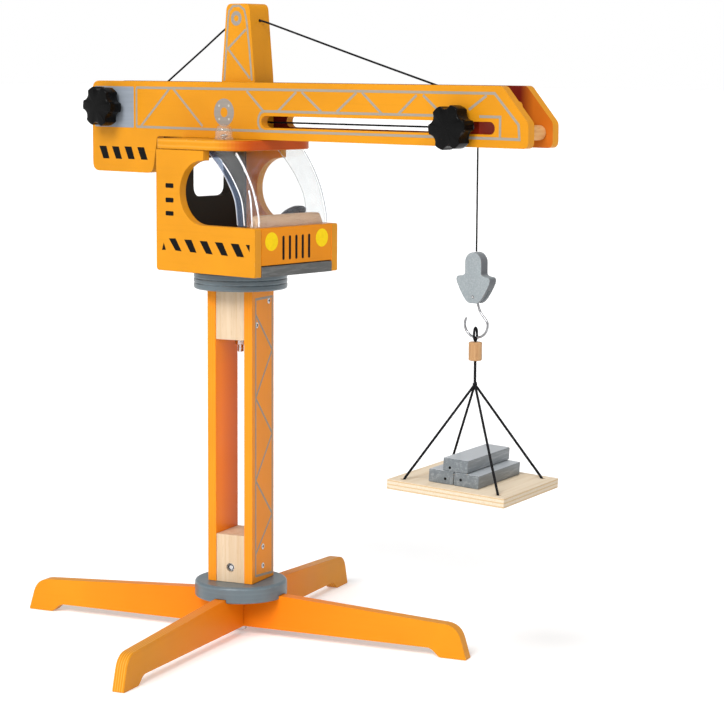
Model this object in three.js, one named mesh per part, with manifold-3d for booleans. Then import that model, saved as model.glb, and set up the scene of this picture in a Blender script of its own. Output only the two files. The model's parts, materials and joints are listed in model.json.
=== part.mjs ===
// Toy tower crane in painted plywood and beech.
// Millimetres, +Z up. The origin is on the floor under the mast axis, and the jib points along +X.

import * as THREE from 'three';
import { mergeVertices } from 'three/addons/utils/BufferGeometryUtils.js';
import Module from 'manifold-3d';

const wasm = await Module();
wasm.setup();

// ---- Driving dimensions ----------------------------------------------------------------------

const GAP = 0.3; // clearance between touching or nested pieces
const BOARD = 8.5; // plywood thickness of cab, mast and jib
const RAD = Math.PI / 180;

const STAND_TURN = 16.4 * RAD; // the stand's angle about the mast axis, as the crane is left standing
const DISC_R = 44.3; // base disc and turntable disc

const LEG_REACH = 236; // mast axis to the outer end of a foot
const LEG_T = 11.6; // thickness of the leg boards
const LEG_UNDER = 8; // underside of a leg above the floor
const LEG_HUB_TOP = 41.3; // top of the legs under the base disc
const FOOT_LENGTH = 27; // flat pad at the end of each leg
const LAP_Z = 25; // height at which the two leg boards halve into each other

const BASE_DISC_Z = [37.8, 53.7];
const MAST_Z = [54, 334]; // bottom and top of the mast boards
const MAST_HALF = 23.6; // mast axis to the outer face of a mast board
const MAST_DEPTH = 45.6;
const MAST_BLOCK = { bottomTop: 100, topBottom: 287 }; // the two beech blocks end at these heights
const BOLT_R = 3; // base bolt and slew bolt
const BARREL = { z: 68.2, r: 4, y0: -22, y1: 4 }; // nut of the base bolt, across the bottom block
const SCREW = { head: 2.8, shank: 1.4, sunk: 0.2, hole: 20, length: 13.4 };
const TURNTABLE_Z = [334.3, 351.3];

const CAB_X = [-55.5, 71.9]; // back and front of the cab sides
const CAB_HALF = 56.8; // half the cab's width
const CAB_Z = [351.6, 465.2]; // bottom and top of the cab sides
const SILL_Z = 396.4; // window sill and top of the front panel
const WINDOW = { x: 5.5, z: 426.2, r: 29.8, lipX: 6.4 }; // round back of the side window
const BACK_WINDOW = { half: 24.4, z0: 419.5, z1: 456, r: 10.5 };
const ROOF_Z = [465.5, 475.3];
const ROOF_FRONT = 47.5;
const BUMPER_TOP = 361.4;
const DASH_TOP = 407;
const STEERING = { x: 42, y: 26, z: 404, tilt: 35 * RAD, r: 14.6, column: 17.6 };
const BEACON = { x: 18, y: -41, r: 8.6, height: 13.8, wall: 1.4 }; // clear domed cap on the roof

const JIB_X = [-179.5, 350.4]; // rear and tip of the jib boards
const JIB_Z = [475.6, 527.7];
const JIB_HALF = 21.6; // jib centre plane to the outer face of a board
const JIB_GAP = JIB_HALF - BOARD; // centre plane to the inner faces
const WEIGHT_Z = 440; // bottom of the counterweight part of each board
const SLOT = { x0: 46.6, x1: 315.4, z: 492, r: 5.4 };
const CROWN_Z = 600; // top of the peak block
const STAY = { r: 0.9, holeR: 1.7, z: 581.7, slope: 0.109 }; // stay cord and its hole in the peak
const STAY_PIN = { r: 3, z: 515, rearX: -119, frontX: 281 }; // pins that hold the stay's ends

const TROLLEY = { x: 277.5, z: 492.2, boltR: 2.5, length: 29, z0: 479, z1: 504 };
const CORD_R = 0.75; // hoist cord
const CORD_Z = 491.1; // its run inside the jib
const DROP_X = 281.05; // its drop to the hook block

const WINCH = { x: -153.9, z: 503.2, axleR: 3.6, flange: 3, flangeT: 2.4 };
const COIL_R = 9.2; // outside of the cord wound on the winch
const KNOB = { r: 19.6, lobes: 6, y0: -41.8, y1: -25, neckY: -21.9 };

const HOOK_TOP = 384.6; // top of the hook block
const HOOK_BLOCK = { height: 44.3, half: 4.7, lobe: 8.9, kerf: 1.5 };
const HOOK_PIN_Z = 345.8;
const BEAD_Z = [290, 306.2];
const KNOT_Z = 269;
const LOAD_TURN = 11.6 * RAD; // the pallet's angle about its hanging axis
const PALLET = { side: 112.4, z0: 177, z1: 185.5, holeInset: 10.5, hangs: 3.3 * RAD }; // not quite level
const BEAM = { length: 83.6, width: 24.2, height: 11.4, y: 2.8 };

// ---- Colours ---------------------------------------------------------------------------------

const paint = (color, roughness = 0.42) => new THREE.MeshStandardMaterial({ color, roughness, metalness: 0 });
const metal = (color, roughness = 0.3) => new THREE.MeshStandardMaterial({ color, roughness, metalness: 1 });
const clear = (opacity) =>
  new THREE.MeshStandardMaterial({ color: 0xeef2f4, roughness: 0.06, metalness: 0, transparent: true, opacity });
const ORANGE = 0xf2a024;
const GREY = 0x74808a;
const BEECH = 0xe9cfae;
const PLY = 0xeedcc0;
const BLACK = 0x141414;
const CHARCOAL = 0x2a2a28;
const STEEL = 0xb9bcc0;

// ---- Shape helpers ---------------------------------------------------------------------------

const X = new THREE.Vector3(1, 0, 0);
const Y = new THREE.Vector3(0, 1, 0);
const Z = new THREE.Vector3(0, 0, 1);
const v2 = (x, y) => new THREE.Vector2(x, y);

// Outline through corner points [x, y, radius], each rounded by its own radius.
function roundedOutline(corners) {
  const shape = new THREE.Shape();
  corners.forEach(([x, y, r = 0], i) => {
    const corner = v2(x, y);
    const before = corners[(i + corners.length - 1) % corners.length];
    const after = corners[(i + 1) % corners.length];
    const start = v2(before[0], before[1]).sub(corner).setLength(r).add(corner);
    const end = v2(after[0], after[1]).sub(corner).setLength(r).add(corner);
    if (i === 0) shape.moveTo(start.x, start.y);
    else shape.lineTo(start.x, start.y);
    if (r > 0) shape.quadraticCurveTo(x, y, end.x, end.y);
  });
  shape.closePath();
  return shape;
}

const rectangle = (x0, y0, x1, y1, r = 0) =>
  roundedOutline([[x0, y0, r], [x1, y0, r], [x1, y1, r], [x0, y1, r]]);

function extrude(shape, depth, curveSegments = 6) {
  return new THREE.ExtrudeGeometry(shape, { depth, bevelEnabled: false, curveSegments });
}

// Outline drawn in X and Z, thick along Y from y0 to y1.
function uprightPlate(shape, y0, y1, segments) {
  return extrude(shape, y1 - y0, segments).rotateX(Math.PI / 2).translate(0, y1, 0);
}

// Outline drawn in Y and Z, thick along X from x0 to x1.
function crossPlate(shape, x0, x1, segments) {
  const turn = new THREE.Matrix4().makeBasis(Y, Z, X);
  return extrude(shape, x1 - x0, segments).applyMatrix4(turn).translate(x0, 0, 0);
}

// Outline drawn in X and Y, thick along Z from z0 to z1.
function flatPlate(shape, z0, z1, segments) {
  return extrude(shape, z1 - z0, segments).translate(0, 0, z0);
}

function box(x0, x1, y0, y1, z0, z1) {
  const solid = new THREE.BoxGeometry(x1 - x0, y1 - y0, z1 - z0);
  return solid.translate((x0 + x1) / 2, (y0 + y1) / 2, (z0 + z1) / 2);
}

// Round solid about the Z axis from a profile of [radius, z] points.
function turned(profile, sides = 24) {
  const points = profile.map(([r, z]) => v2(r, z));
  return new THREE.LatheGeometry(points, sides).rotateX(Math.PI / 2);
}

const rod = (r, z0, z1, sides = 20) => turned([[0, z0], [r, z0], [r, z1], [0, z1]], sides);

// A solid made about the Z axis, turned to lie about a line along Y through (x, z).
const aboutY = (geometry, x, z) => geometry.rotateX(-Math.PI / 2).translate(x, 0, z);

const rodY = (r, x, z, y0, y1, sides = 20) => aboutY(rod(r, y0, y1, sides), x, z);

const inPlane = ([x, z]) => new THREE.Vector3(x, 0, z);

// Round tube of radius r along a list of points.
function cord(points, r, steps, sides = 8) {
  const path = new THREE.CatmullRomCurve3(points, false, 'centripetal');
  const section = new THREE.Shape();
  for (let i = 0; i < sides; i++) {
    const a = (2 * Math.PI * i) / sides;
    if (i === 0) section.moveTo(r * Math.cos(a), r * Math.sin(a));
    else section.lineTo(r * Math.cos(a), r * Math.sin(a));
  }
  section.closePath();
  return new THREE.ExtrudeGeometry(section, { steps, extrudePath: path });
}

// ---- Cutting and joining ---------------------------------------------------------------------

function solidOf(geometry) {
  const bare = geometry.clone();
  bare.deleteAttribute('normal');
  bare.deleteAttribute('uv');
  const merged = mergeVertices(bare, 1e-4);
  const vertProperties = new Float32Array(merged.attributes.position.array);
  const triVerts = new Uint32Array(merged.index.array);
  return new wasm.Manifold(new wasm.Mesh({ numProp: 3, vertProperties, triVerts }));
}

function geometryOf(solid) {
  const mesh = solid.getMesh();
  const geometry = new THREE.BufferGeometry();
  geometry.setAttribute('position', new THREE.BufferAttribute(new Float32Array(mesh.vertProperties), 3));
  geometry.setIndex(new THREE.BufferAttribute(new Uint32Array(mesh.triVerts), 1));
  geometry.computeVertexNormals();
  return geometry;
}

const cut = (geometry, ...tools) =>
  geometryOf(tools.reduce((left, tool) => left.subtract(solidOf(tool)), solidOf(geometry)));

const join = (geometry, ...others) =>
  geometryOf(others.reduce((whole, other) => whole.add(solidOf(other)), solidOf(geometry)));

function piece(name, geometry, material) {
  const mesh = new THREE.Mesh(geometry, material);
  mesh.name = name;
  return mesh;
}

// ---- Stand: legs, base disc and mast ---------------------------------------------------------

// Both boards halve into each other at the hub: the first is notched from above, the second from below.
function legOutline() {
  const pad = LEG_REACH - FOOT_LENGTH;
  const half = [
    [pad - 9, LEG_UNDER, 4],
    [pad, 0, 2],
    [LEG_REACH, 0, 1.5],
    [LEG_REACH - 9.5, 31.5, 13],
    [DISC_R + 3, LEG_HUB_TOP, 6],
  ];
  const mirrored = half.map(([x, z, r]) => [-x, z, r]).reverse();
  return roundedOutline([...half, ...mirrored]);
}

function legBoards() {
  const slab = () => uprightPlate(legOutline(), -LEG_T / 2, LEG_T / 2);
  const notchHalf = LEG_T / 2 + GAP;
  const boltHole = rod(BOLT_R + GAP, 0, 60);
  const upperNotch = box(-notchHalf, notchHalf, -LEG_T, LEG_T, LAP_Z, 60);
  const lowerNotch = box(-notchHalf, notchHalf, -LEG_T, LEG_T, 0, LAP_Z + GAP);
  const first = piece('leg_board_a', cut(slab(), upperNotch, boltHole), paint(ORANGE));
  const second = piece('leg_board_b', cut(slab(), lowerNotch, boltHole), paint(ORANGE));
  second.rotation.z = Math.PI / 2;
  return [first, second];
}

// Turned disc with a rounded upper rim and shallow grooves round its edge.
function groovedDisc(z0, z1, grooves) {
  const edge = 2.2;
  const profile = [[0, z0], [DISC_R - 1.2, z0], [DISC_R, z0 + 1.2]];
  const span = z1 - edge - (z0 + 1.2);
  for (let i = 1; i <= grooves; i++) {
    const z = z0 + 1.2 + (span * i) / (grooves + 1);
    profile.push([DISC_R, z - 0.7], [DISC_R - 0.8, z], [DISC_R, z + 0.7]);
  }
  profile.push([DISC_R, z1 - edge], [DISC_R - edge * 0.4, z1 - edge * 0.4], [DISC_R - edge, z1], [0, z1]);
  return turned(profile, 56);
}

function baseDisc() {
  const [z0, z1] = BASE_DISC_Z;
  const half = LEG_T / 2 + GAP;
  const top = LEG_HUB_TOP + GAP;
  const along = box(-60, 60, -half, half, z0 - 5, top);
  const across = box(-half, half, -60, 60, z0 - 5, top);
  const boltHole = rod(BOLT_R + GAP, z0 - 5, z1 + 5);
  return piece('base_disc', cut(groovedDisc(z0, z1, 0), along, across, boltHole), paint(GREY, 0.5));
}

function baseBolt() {
  const head = LEG_UNDER - GAP;
  const rim = [[0, head - 4.3], [4.4, head - 4.3], [5.4, head - 3.3], [5.4, head]];
  const shank = [[BOLT_R, head], [BOLT_R, 76], [0, 76]];
  return piece('base_bolt', turned([...rim, ...shank], 18), metal(STEEL));
}

// Countersunk wood screw along +Z with its head's face at z = 0, grown by a margin where it is a hole.
function screwShape(length, margin = 0) {
  const head = SCREW.head + margin;
  const shank = SCREW.shank + margin;
  const face = margin > 0 ? -1 : 0;
  const end = length + margin;
  const countersink = [[0, face], [head, face], [head, 0.4], [shank, 2.2 + margin]];
  return turned([...countersink, [shank, end], [0, end]], 12);
}

// Four screws on each side: two apart in the top block, two in line in the bottom block.
const MAST_SCREWS = [-1, 1].flatMap((side) => [
  { side, y: 12.5 * side, z: 322 },
  { side, y: -12.5 * side, z: 301 },
  { side, y: 0, z: 86.5 },
  { side, y: 0, z: 68 },
]);

// Turns a screw shape to enter the mast from the outer face on its side.
function intoMast(geometry, { side, y, z }) {
  const face = side * (MAST_HALF - SCREW.sunk);
  return geometry.rotateY((-side * Math.PI) / 2).translate(face, y, z);
}

const screwHoles = (wanted) => MAST_SCREWS.filter(wanted).map((s) => intoMast(screwShape(SCREW.hole, GAP), s));

function mastBoards() {
  return [['mast_board_left', -1], ['mast_board_right', 1]].map(([name, side]) => {
    const inner = MAST_HALF - BOARD;
    const [x0, x1] = side < 0 ? [-MAST_HALF, -inner] : [inner, MAST_HALF];
    const outline = rectangle(x0, -MAST_DEPTH / 2, x1, MAST_DEPTH / 2);
    const holes = screwHoles((s) => s.side === side);
    return piece(name, cut(flatPlate(outline, ...MAST_Z), ...holes), paint(ORANGE));
  });
}

function mastBlock(name, z0, z1, ...tools) {
  const half = MAST_HALF - BOARD - GAP;
  const depth = MAST_DEPTH / 2 - 0.6;
  const holes = screwHoles((s) => s.z > z0 && s.z < z1);
  return piece(name, cut(box(-half, half, -depth, depth, z0, z1), ...holes, ...tools), paint(BEECH, 0.55));
}

function mastBlocks() {
  const boltWell = rod(BOLT_R + GAP, MAST_Z[0] - 5, 77.5);
  const barrelWell = rodY(BARREL.r + GAP, 0, BARREL.z, -MAST_DEPTH, BARREL.y1 + GAP);
  const bottom = mastBlock('mast_block_bottom', MAST_Z[0], MAST_BLOCK.bottomTop, boltWell, barrelWell);
  const slewHole = rod(BOLT_R + GAP, MAST_BLOCK.topBottom - 5, MAST_Z[1] + 5);
  const top = mastBlock('mast_block_top', MAST_BLOCK.topBottom, MAST_Z[1], slewHole);
  const nut = cut(rodY(BARREL.r, 0, BARREL.z, BARREL.y0, BARREL.y1), rod(BOLT_R + GAP, 50, 90));
  return [bottom, top, piece('barrel_nut', nut, metal(STEEL))];
}

function mastScrews() {
  return MAST_SCREWS.map((s, i) => {
    return piece(`mast_screw_${i + 1}`, intoMast(screwShape(SCREW.length), s), metal(STEEL));
  });
}

function turntableDisc() {
  const hole = rod(BOLT_R + GAP, TURNTABLE_Z[0] - 5, TURNTABLE_Z[1] + 5);
  return piece('turntable_disc', cut(groovedDisc(...TURNTABLE_Z, 2), hole), paint(GREY, 0.5));
}

const FLOOR_Z = [CAB_Z[0] + GAP, CAB_Z[0] + GAP + BOARD];

function slewBolt() {
  const head = FLOOR_Z[1] + GAP;
  const shank = [[0, 273.5], [BOLT_R - 0.4, 273.5], [BOLT_R, 274.2], [BOLT_R, head]];
  const washer = [[8, head], [8, head + 1.2]];
  const dome = [[5.6, head + 1.2], [5.2, head + 3], [3.6, head + 4], [0, head + 4.4]];
  return piece('slew_bolt', turned([...shank, ...washer, ...dome], 20), metal(STEEL));
}

// Hexagon nut with a lock collar below and a washer above, against the underside of the top block.
function slewNut() {
  const top = MAST_BLOCK.topBottom - GAP;
  const flats = [[0, top - 6.2], [5.4, top - 6.2], [5.75, top - 5.6], [5.75, top - 1.6]];
  const washer = [[7.5, top - 1.6], [7.5, top], [0, top]];
  const hole = rod(BOLT_R + GAP, top - 20, top + 5);
  return piece('slew_nut', cut(turned([...flats, ...washer], 6), hole), metal(STEEL));
}

function stand() {
  const group = new THREE.Group();
  group.rotation.z = STAND_TURN;
  group.add(...legBoards(), baseDisc(), baseBolt(), ...mastBoards(), ...mastBlocks(), ...mastScrews());
  group.add(turntableDisc(), slewBolt(), slewNut());
  return group;
}

// ---- Cab -------------------------------------------------------------------------------------

const CAB_INNER = CAB_HALF - BOARD; // centre plane to the inner faces of the sides
const BACK_X = [-46.2, -46.2 + BOARD]; // the back panel sits a little way in
const FRONT_X = [CAB_X[1] - BOARD, CAB_X[1]];

function cabSideOutline() {
  const [x0, x1] = CAB_X;
  const [z0, z1] = CAB_Z;
  const shape = new THREE.Shape();
  shape.moveTo(x0 + 4, z0);
  shape.lineTo(x1 - 2, z0);
  shape.quadraticCurveTo(x1, z0, x1, z0 + 2);
  shape.lineTo(x1, SILL_Z - 2);
  shape.quadraticCurveTo(x1, SILL_Z, x1 - 2, SILL_Z);
  shape.absarc(WINDOW.x, WINDOW.z, WINDOW.r, -Math.PI / 2, Math.PI / 2, true);
  const crown = WINDOW.z + WINDOW.r;
  shape.quadraticCurveTo(WINDOW.lipX, crown, WINDOW.lipX, crown + 2.5);
  shape.lineTo(WINDOW.lipX, z1);
  shape.lineTo(x0 + 1.5, z1);
  shape.quadraticCurveTo(x0, z1, x0, z1 - 1.5);
  shape.lineTo(x0, z0 + 4);
  shape.quadraticCurveTo(x0, z0, x0 + 4, z0);
  return shape;
}

function cabSides() {
  const side = (y0) => uprightPlate(cabSideOutline(), y0, y0 + BOARD, 20);
  return [
    piece('cab_side_right', side(-CAB_HALF), paint(ORANGE)),
    piece('cab_side_left', side(CAB_INNER), paint(ORANGE)),
  ];
}

function cabFloor() {
  const half = CAB_INNER - GAP;
  const outline = rectangle(BACK_X[0] - 8, -half, FRONT_X[0] - GAP - 0.8, half);
  const hole = rod(BOLT_R + GAP, CAB_Z[0] - 5, FLOOR_Z[1] + 5);
  return piece('cab_floor', cut(flatPlate(outline, ...FLOOR_Z), hole), paint(CHARCOAL, 0.6));
}

function cabBackPanel() {
  const half = CAB_INNER - GAP;
  const outline = rectangle(-half, FLOOR_Z[1] + GAP, half, CAB_Z[1]);
  const pane = rectangle(-BACK_WINDOW.half, BACK_WINDOW.z0, BACK_WINDOW.half, BACK_WINDOW.z1, BACK_WINDOW.r);
  outline.holes.push(new THREE.Path(pane.getPoints(6)));
  return piece('cab_back_panel', crossPlate(outline, ...BACK_X), paint(CHARCOAL, 0.6));
}

function cabFront() {
  const half = CAB_INNER - GAP;
  const panel = crossPlate(rectangle(-half, BUMPER_TOP + 0.8, half, SILL_Z, 0.8), ...FRONT_X);
  const bumperOutline = rectangle(-half, CAB_Z[0], half, BUMPER_TOP, 0.8);
  const bumper = crossPlate(bumperOutline, FRONT_X[0], FRONT_X[1] + 0.8);
  const dashHalf = 45.8;
  const dashFoot = FLOOR_Z[1] + GAP;
  const dashOutline = roundedOutline([
    [-dashHalf, dashFoot],
    [dashHalf, dashFoot],
    [dashHalf, DASH_TOP - 9],
    [dashHalf - 4.5, DASH_TOP, 3],
    [-dashHalf + 4.5, DASH_TOP, 3],
    [-dashHalf, DASH_TOP - 9],
  ]);
  const dashboard = crossPlate(dashOutline, FRONT_X[0] - GAP - BOARD, FRONT_X[0] - GAP);
  return [
    piece('cab_front_panel', panel, paint(ORANGE)),
    piece('cab_bumper', bumper, paint(0x74757a, 0.5)),
    piece('cab_dashboard', dashboard, paint(BEECH, 0.55)),
  ];
}

function cabRoof() {
  const outline = roundedOutline([
    [CAB_X[0], -CAB_HALF, 4],
    [ROOF_FRONT, -CAB_HALF, 26],
    [ROOF_FRONT, CAB_HALF, 26],
    [CAB_X[0], CAB_HALF, 4],
  ]);
  return piece('cab_roof', flatPlate(outline, ...ROOF_Z, 10), paint(ORANGE));
}

// Clear canopy: a curved sheet from the roof to the sill, with a side wall at each end.
const CANOPY = { half: CAB_INNER - GAP, sheet: 1.8, z0: SILL_Z + GAP, z1: ROOF_Z[0] - GAP };
const CANOPY_FRONT = [[68, CANOPY.z0], [67.4, 408], [61, 430.5], [51.3, 450], [40, CANOPY.z1]];
const CANOPY_REAR = [[42, CANOPY.z0], [38.5, 420], [30, 436], [19, 450], [3, CANOPY.z1]];

function canopyCurve(points, inset) {
  const spline = new THREE.SplineCurve(points.map(([x, z]) => v2(x, z)));
  return spline.getPoints(14).map((p) => v2(p.x - inset, p.y));
}

function windshield() {
  const front = canopyCurve(CANOPY_FRONT, 0);
  const between = (back) => new THREE.Shape([...front, ...back.reverse()]);
  const sheet = uprightPlate(between(canopyCurve(CANOPY_FRONT, CANOPY.sheet)), -CANOPY.half, CANOPY.half);
  const wall = (y0) => uprightPlate(between(canopyCurve(CANOPY_REAR, 0)), y0, y0 + CANOPY.sheet);
  const whole = join(sheet, wall(-CANOPY.half), wall(CANOPY.half - CANOPY.sheet));
  return piece('windshield', whole, clear(0.3));
}

// A domed knob on a short column that stops just clear of the dashboard.
function steeringWheel() {
  const { x, y, z, r, tilt, column } = STEERING;
  const stem = [[0, -column], [2.4, -column], [2.4, -2]];
  const dome = [[r - 2, -2], [r, -0.4], [r - 0.6, 1.6], [r * 0.7, 4.2], [r * 0.35, 5.2], [0, 5.4]];
  const wheel = turned([...stem, ...dome], 32).rotateY(-tilt).translate(x, y, z);
  return piece('steering_wheel', wheel, paint(BLACK, 0.35));
}

function beacon() {
  const { x, y, r, height, wall } = BEACON;
  const z = ROOF_Z[1] + GAP;
  const bore = r - 0.6 - wall;
  const outside = [[r + 0.4, z], [r + 0.4, z + 1.6], [r - 0.4, z + 2.4], [r - 0.6, z + height - 6]];
  const crown = [[r * 0.72, z + height - 2.2], [r * 0.4, z + height - 0.5], [0, z + height]];
  const inside = [[0, z + height - wall], [r * 0.6, z + height - 4], [bore, z + height - 7], [bore, z]];
  const dome = turned([...outside, ...crown, ...inside, [r + 0.4, z]], 28).translate(x, y, 0);
  return piece('beacon_dome', dome, clear(0.35));
}

function cab() {
  const shell = [...cabSides(), cabFloor(), cabBackPanel(), ...cabFront(), cabRoof()];
  return [...shell, windshield(), steeringWheel(), beacon()];
}

// ---- Jib -------------------------------------------------------------------------------------

function jibOutline() {
  const [rear, tip] = JIB_X;
  const [low, high] = JIB_Z;
  const shape = roundedOutline([
    [rear, WEIGHT_Z, 9],
    [rear + 84, WEIGHT_Z, 8],
    [rear + 90, low, 3],
    [tip, low, 6],
    [tip, 497, 3],
    [tip - 28, high, 3],
    [rear, high, 10],
  ]);
  const slot = new THREE.Path();
  slot.absarc(SLOT.x0 + SLOT.r, SLOT.z, SLOT.r, Math.PI / 2, (3 * Math.PI) / 2, false);
  slot.absarc(SLOT.x1 - SLOT.r, SLOT.z, SLOT.r, -Math.PI / 2, Math.PI / 2, false);
  slot.closePath();
  shape.holes.push(slot);
  return shape;
}

function jibBoards() {
  const axleHole = () => rodY(WINCH.axleR + GAP, WINCH.x, WINCH.z, -40, 40);
  const board = (y0) => cut(uprightPlate(jibOutline(), y0, y0 + BOARD, 8), axleHole());
  return [
    piece('jib_board_right', board(-JIB_HALF), paint(ORANGE)),
    piece('jib_board_left', board(JIB_GAP), paint(ORANGE)),
  ];
}

// The stay passes through the peak block along one slanting hole.
const stayPoint = (x) => [x, STAY.z + STAY.slope * x];

function peakBlock() {
  const half = JIB_GAP - GAP;
  const outline = roundedOutline([
    [-12.1, JIB_Z[0] + GAP],
    [30.3, JIB_Z[0] + GAP],
    [30.3, JIB_Z[1] + 2, 8],
    [23.2, CROWN_Z, 6],
    [-5.4, CROWN_Z, 6],
    [-12.1, JIB_Z[1] + 2, 8],
  ]);
  const stayHole = cord([-25, 40].map((x) => inPlane(stayPoint(x))), STAY.holeR, 1, 10);
  const hoistHole = rod(3, -40, 60, 14).rotateY(Math.PI / 2).translate(0, 0, CORD_Z);
  return piece('peak_block', cut(uprightPlate(outline, -half, half), stayHole, hoistHole), paint(ORANGE));
}

function jibSpacers() {
  const half = JIB_GAP - GAP;
  const spacer = (name, r, x, z, color, end = half) =>
    piece(name, rodY(r, x, z, -half, end, 24), paint(color, 0.55));
  return [
    spacer('tip_dowel', 6.4, 337.4, 488.4, BEECH),
    spacer('tip_spacer', 4.2, 329, 510.6, ORANGE, -6.2), // a stub on the near board
    spacer('rear_dowel', 6.4, -112, 455, BEECH),
    spacer('stay_pin_rear', STAY_PIN.r, STAY_PIN.rearX, STAY_PIN.z, BEECH),
    spacer('stay_pin_front', STAY_PIN.r, STAY_PIN.frontX, STAY_PIN.z, BEECH),
  ];
}

// One cord from the rear pin up through the peak block and down to the front pin.
function stayCord() {
  const { rearX, frontX, z, r } = STAY_PIN;
  const end = r + GAP + 0.1;
  const points = [
    [rearX + end, z],
    [-94, 528.9],
    [-50, 557.1],
    ...[-14, -4, 6, 16, 24].map(stayPoint),
    [30, 583.6],
    [60, 575.4],
    [150, 550.4],
    [234, 527.6],
    [frontX - end, z + 0.8],
  ];
  return piece('stay_cord', cord(points.map(inPlane), STAY.r, 78), paint(BLACK, 0.8));
}

// The hoist cord in three lengths: along the jib, under the trolley bolt, and down to the hook block.
function hoistCord() {
  const rear = TROLLEY.x - TROLLEY.length / 2;
  const clearOfCoil = [WINCH.x + 0.68 * COIL_R, WINCH.z - 0.92 * COIL_R];
  const run = [clearOfCoil, [-135, 492.6], [-118, CORD_Z], [-60, CORD_Z], [100, CORD_Z], [rear - GAP, CORD_Z]];
  const bend = [
    [rear, CORD_Z],
    [268, 490.6],
    [273, 488.9],
    [277.3, 487],
    [280, 484.2],
    [DROP_X, 481.4],
    [DROP_X, TROLLEY.z0 + GAP],
  ];
  const drop = [[DROP_X, TROLLEY.z0], [DROP_X, HOOK_TOP + GAP]];
  return [
    piece('hoist_cord_run', cord(run.map(inPlane), CORD_R, 60), paint(BLACK, 0.8)),
    piece('hoist_cord_bend', cord(bend.map(inPlane), CORD_R, 20), paint(BLACK, 0.8)),
    piece('hoist_cord_drop', cord(drop.map(inPlane), CORD_R, 10), paint(BLACK, 0.8)),
  ];
}

// ---- Winch and trolley -----------------------------------------------------------------------

// Lobed hand knob about the Y axis: a disc scalloped by round notches, on a short neck.
function knobShape(x, z, phase, boltR) {
  const { r, lobes, y0, y1, neckY } = KNOB;
  const notch = { at: r * 1.17, r: r * 0.36 };
  const outline = new THREE.Shape();
  const count = lobes * 12;
  for (let i = 0; i < count; i++) {
    const a = (2 * Math.PI * i) / count;
    const fromNotch = (((a / (2 * Math.PI)) * lobes) % 1) * (360 / lobes) * RAD - Math.PI / lobes;
    const side = notch.at * Math.abs(Math.sin(fromNotch));
    const inNotch = side < notch.r ? notch.at * Math.cos(fromNotch) - Math.sqrt(notch.r ** 2 - side ** 2) : r;
    const radius = Math.min(r, inNotch);
    if (i === 0) outline.moveTo(radius * Math.cos(a + phase), radius * Math.sin(a + phase));
    else outline.lineTo(radius * Math.cos(a + phase), radius * Math.sin(a + phase));
  }
  outline.closePath();
  const head = uprightPlate(outline, y0, y1);
  const neck = rodY(8.5, 0, 0, y1 - 1, neckY, 24);
  const bore = rodY(boltR + GAP, 0, 0, y0 + 5, neckY + 5);
  return cut(join(head, neck), bore).translate(x, 0, z);
}

// The spool and its axle are one turned piece; the cord wound on it is a ring of the wound shape.
function winch() {
  const { x, z, axleR, flange, flangeT } = WINCH;
  const half = JIB_GAP - GAP - 0.2;
  const web = half - flangeT;
  const drumR = COIL_R - 2 * CORD_R - GAP;
  const outerR = COIL_R + flange;
  const nearEnd = [[0, KNOB.y0 + 5.6], [axleR, KNOB.y0 + 5.6], [axleR, -half], [outerR, -half], [outerR, -web]];
  const farEnd = [[outerR, web], [outerR, half], [axleR, half], [axleR, JIB_HALF + 5.4], [0, JIB_HALF + 5.4]];
  const spool = turned([...nearEnd, [drumR, -web], [drumR, web], ...farEnd], 24);
  const y1 = web - GAP;
  const coil = turned([[drumR + GAP, -y1], [COIL_R, -y1], [COIL_R, y1], [drumR + GAP, y1], [drumR + GAP, -y1]], 24);
  const face = JIB_HALF + GAP;
  const cap = turned([[0, face], [8, face], [8, face + 4.4], [6.2, face + 7.2], [0, face + 8]], 24);
  const capBore = rodY(axleR + GAP, x, z, JIB_HALF - 2, JIB_HALF + 6);
  return [
    piece('winch_knob', knobShape(x, z, 26 * RAD, axleR), paint(BLACK, 0.3)),
    piece('winch_spool', aboutY(spool, x, z), paint(BEECH, 0.55)),
    piece('winch_coil', aboutY(coil, x, z), paint(BLACK, 0.8)),
    piece('winch_cap', cut(aboutY(cap, x, z), capBore), paint(BLACK, 0.3)),
  ];
}

// The block slides between the jib boards; its bolt passes through both slots and takes the clamp knob.
function trolley() {
  const { x, z, boltR, length, z0, z1 } = TROLLEY;
  const half = JIB_GAP - 2 * GAP;
  const block = uprightPlate(rectangle(x - length / 2, z0, x + length / 2, z1, 1.5), -half, half);
  const channel = box(x - length, DROP_X + 2, -1.6, 1.6, z0 - 5, CORD_Z + 2);
  const boltHole = rodY(boltR + GAP, x, z, -30, 30);
  const face = JIB_HALF + GAP;
  const shank = [[0, KNOB.y0 + 6], [boltR, KNOB.y0 + 6], [boltR, face]];
  const washer = [[9, face], [9, face + 1.4]];
  const head = [[6.4, face + 1.4], [5.6, face + 3.6], [3, face + 4.8], [0, face + 5.2]];
  const bolt = turned([...shank, ...washer, ...head], 20);
  return [
    piece('trolley_block', cut(block, channel, boltHole), paint(0xd06a1c)),
    piece('trolley_bolt', aboutY(bolt, x, z), metal(STEEL)),
    piece('trolley_knob', knobShape(x, z, 36 * RAD, boltR), paint(BLACK, 0.3)),
  ];
}

// ---- Hook block, hook and hanging load -------------------------------------------------------

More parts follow.
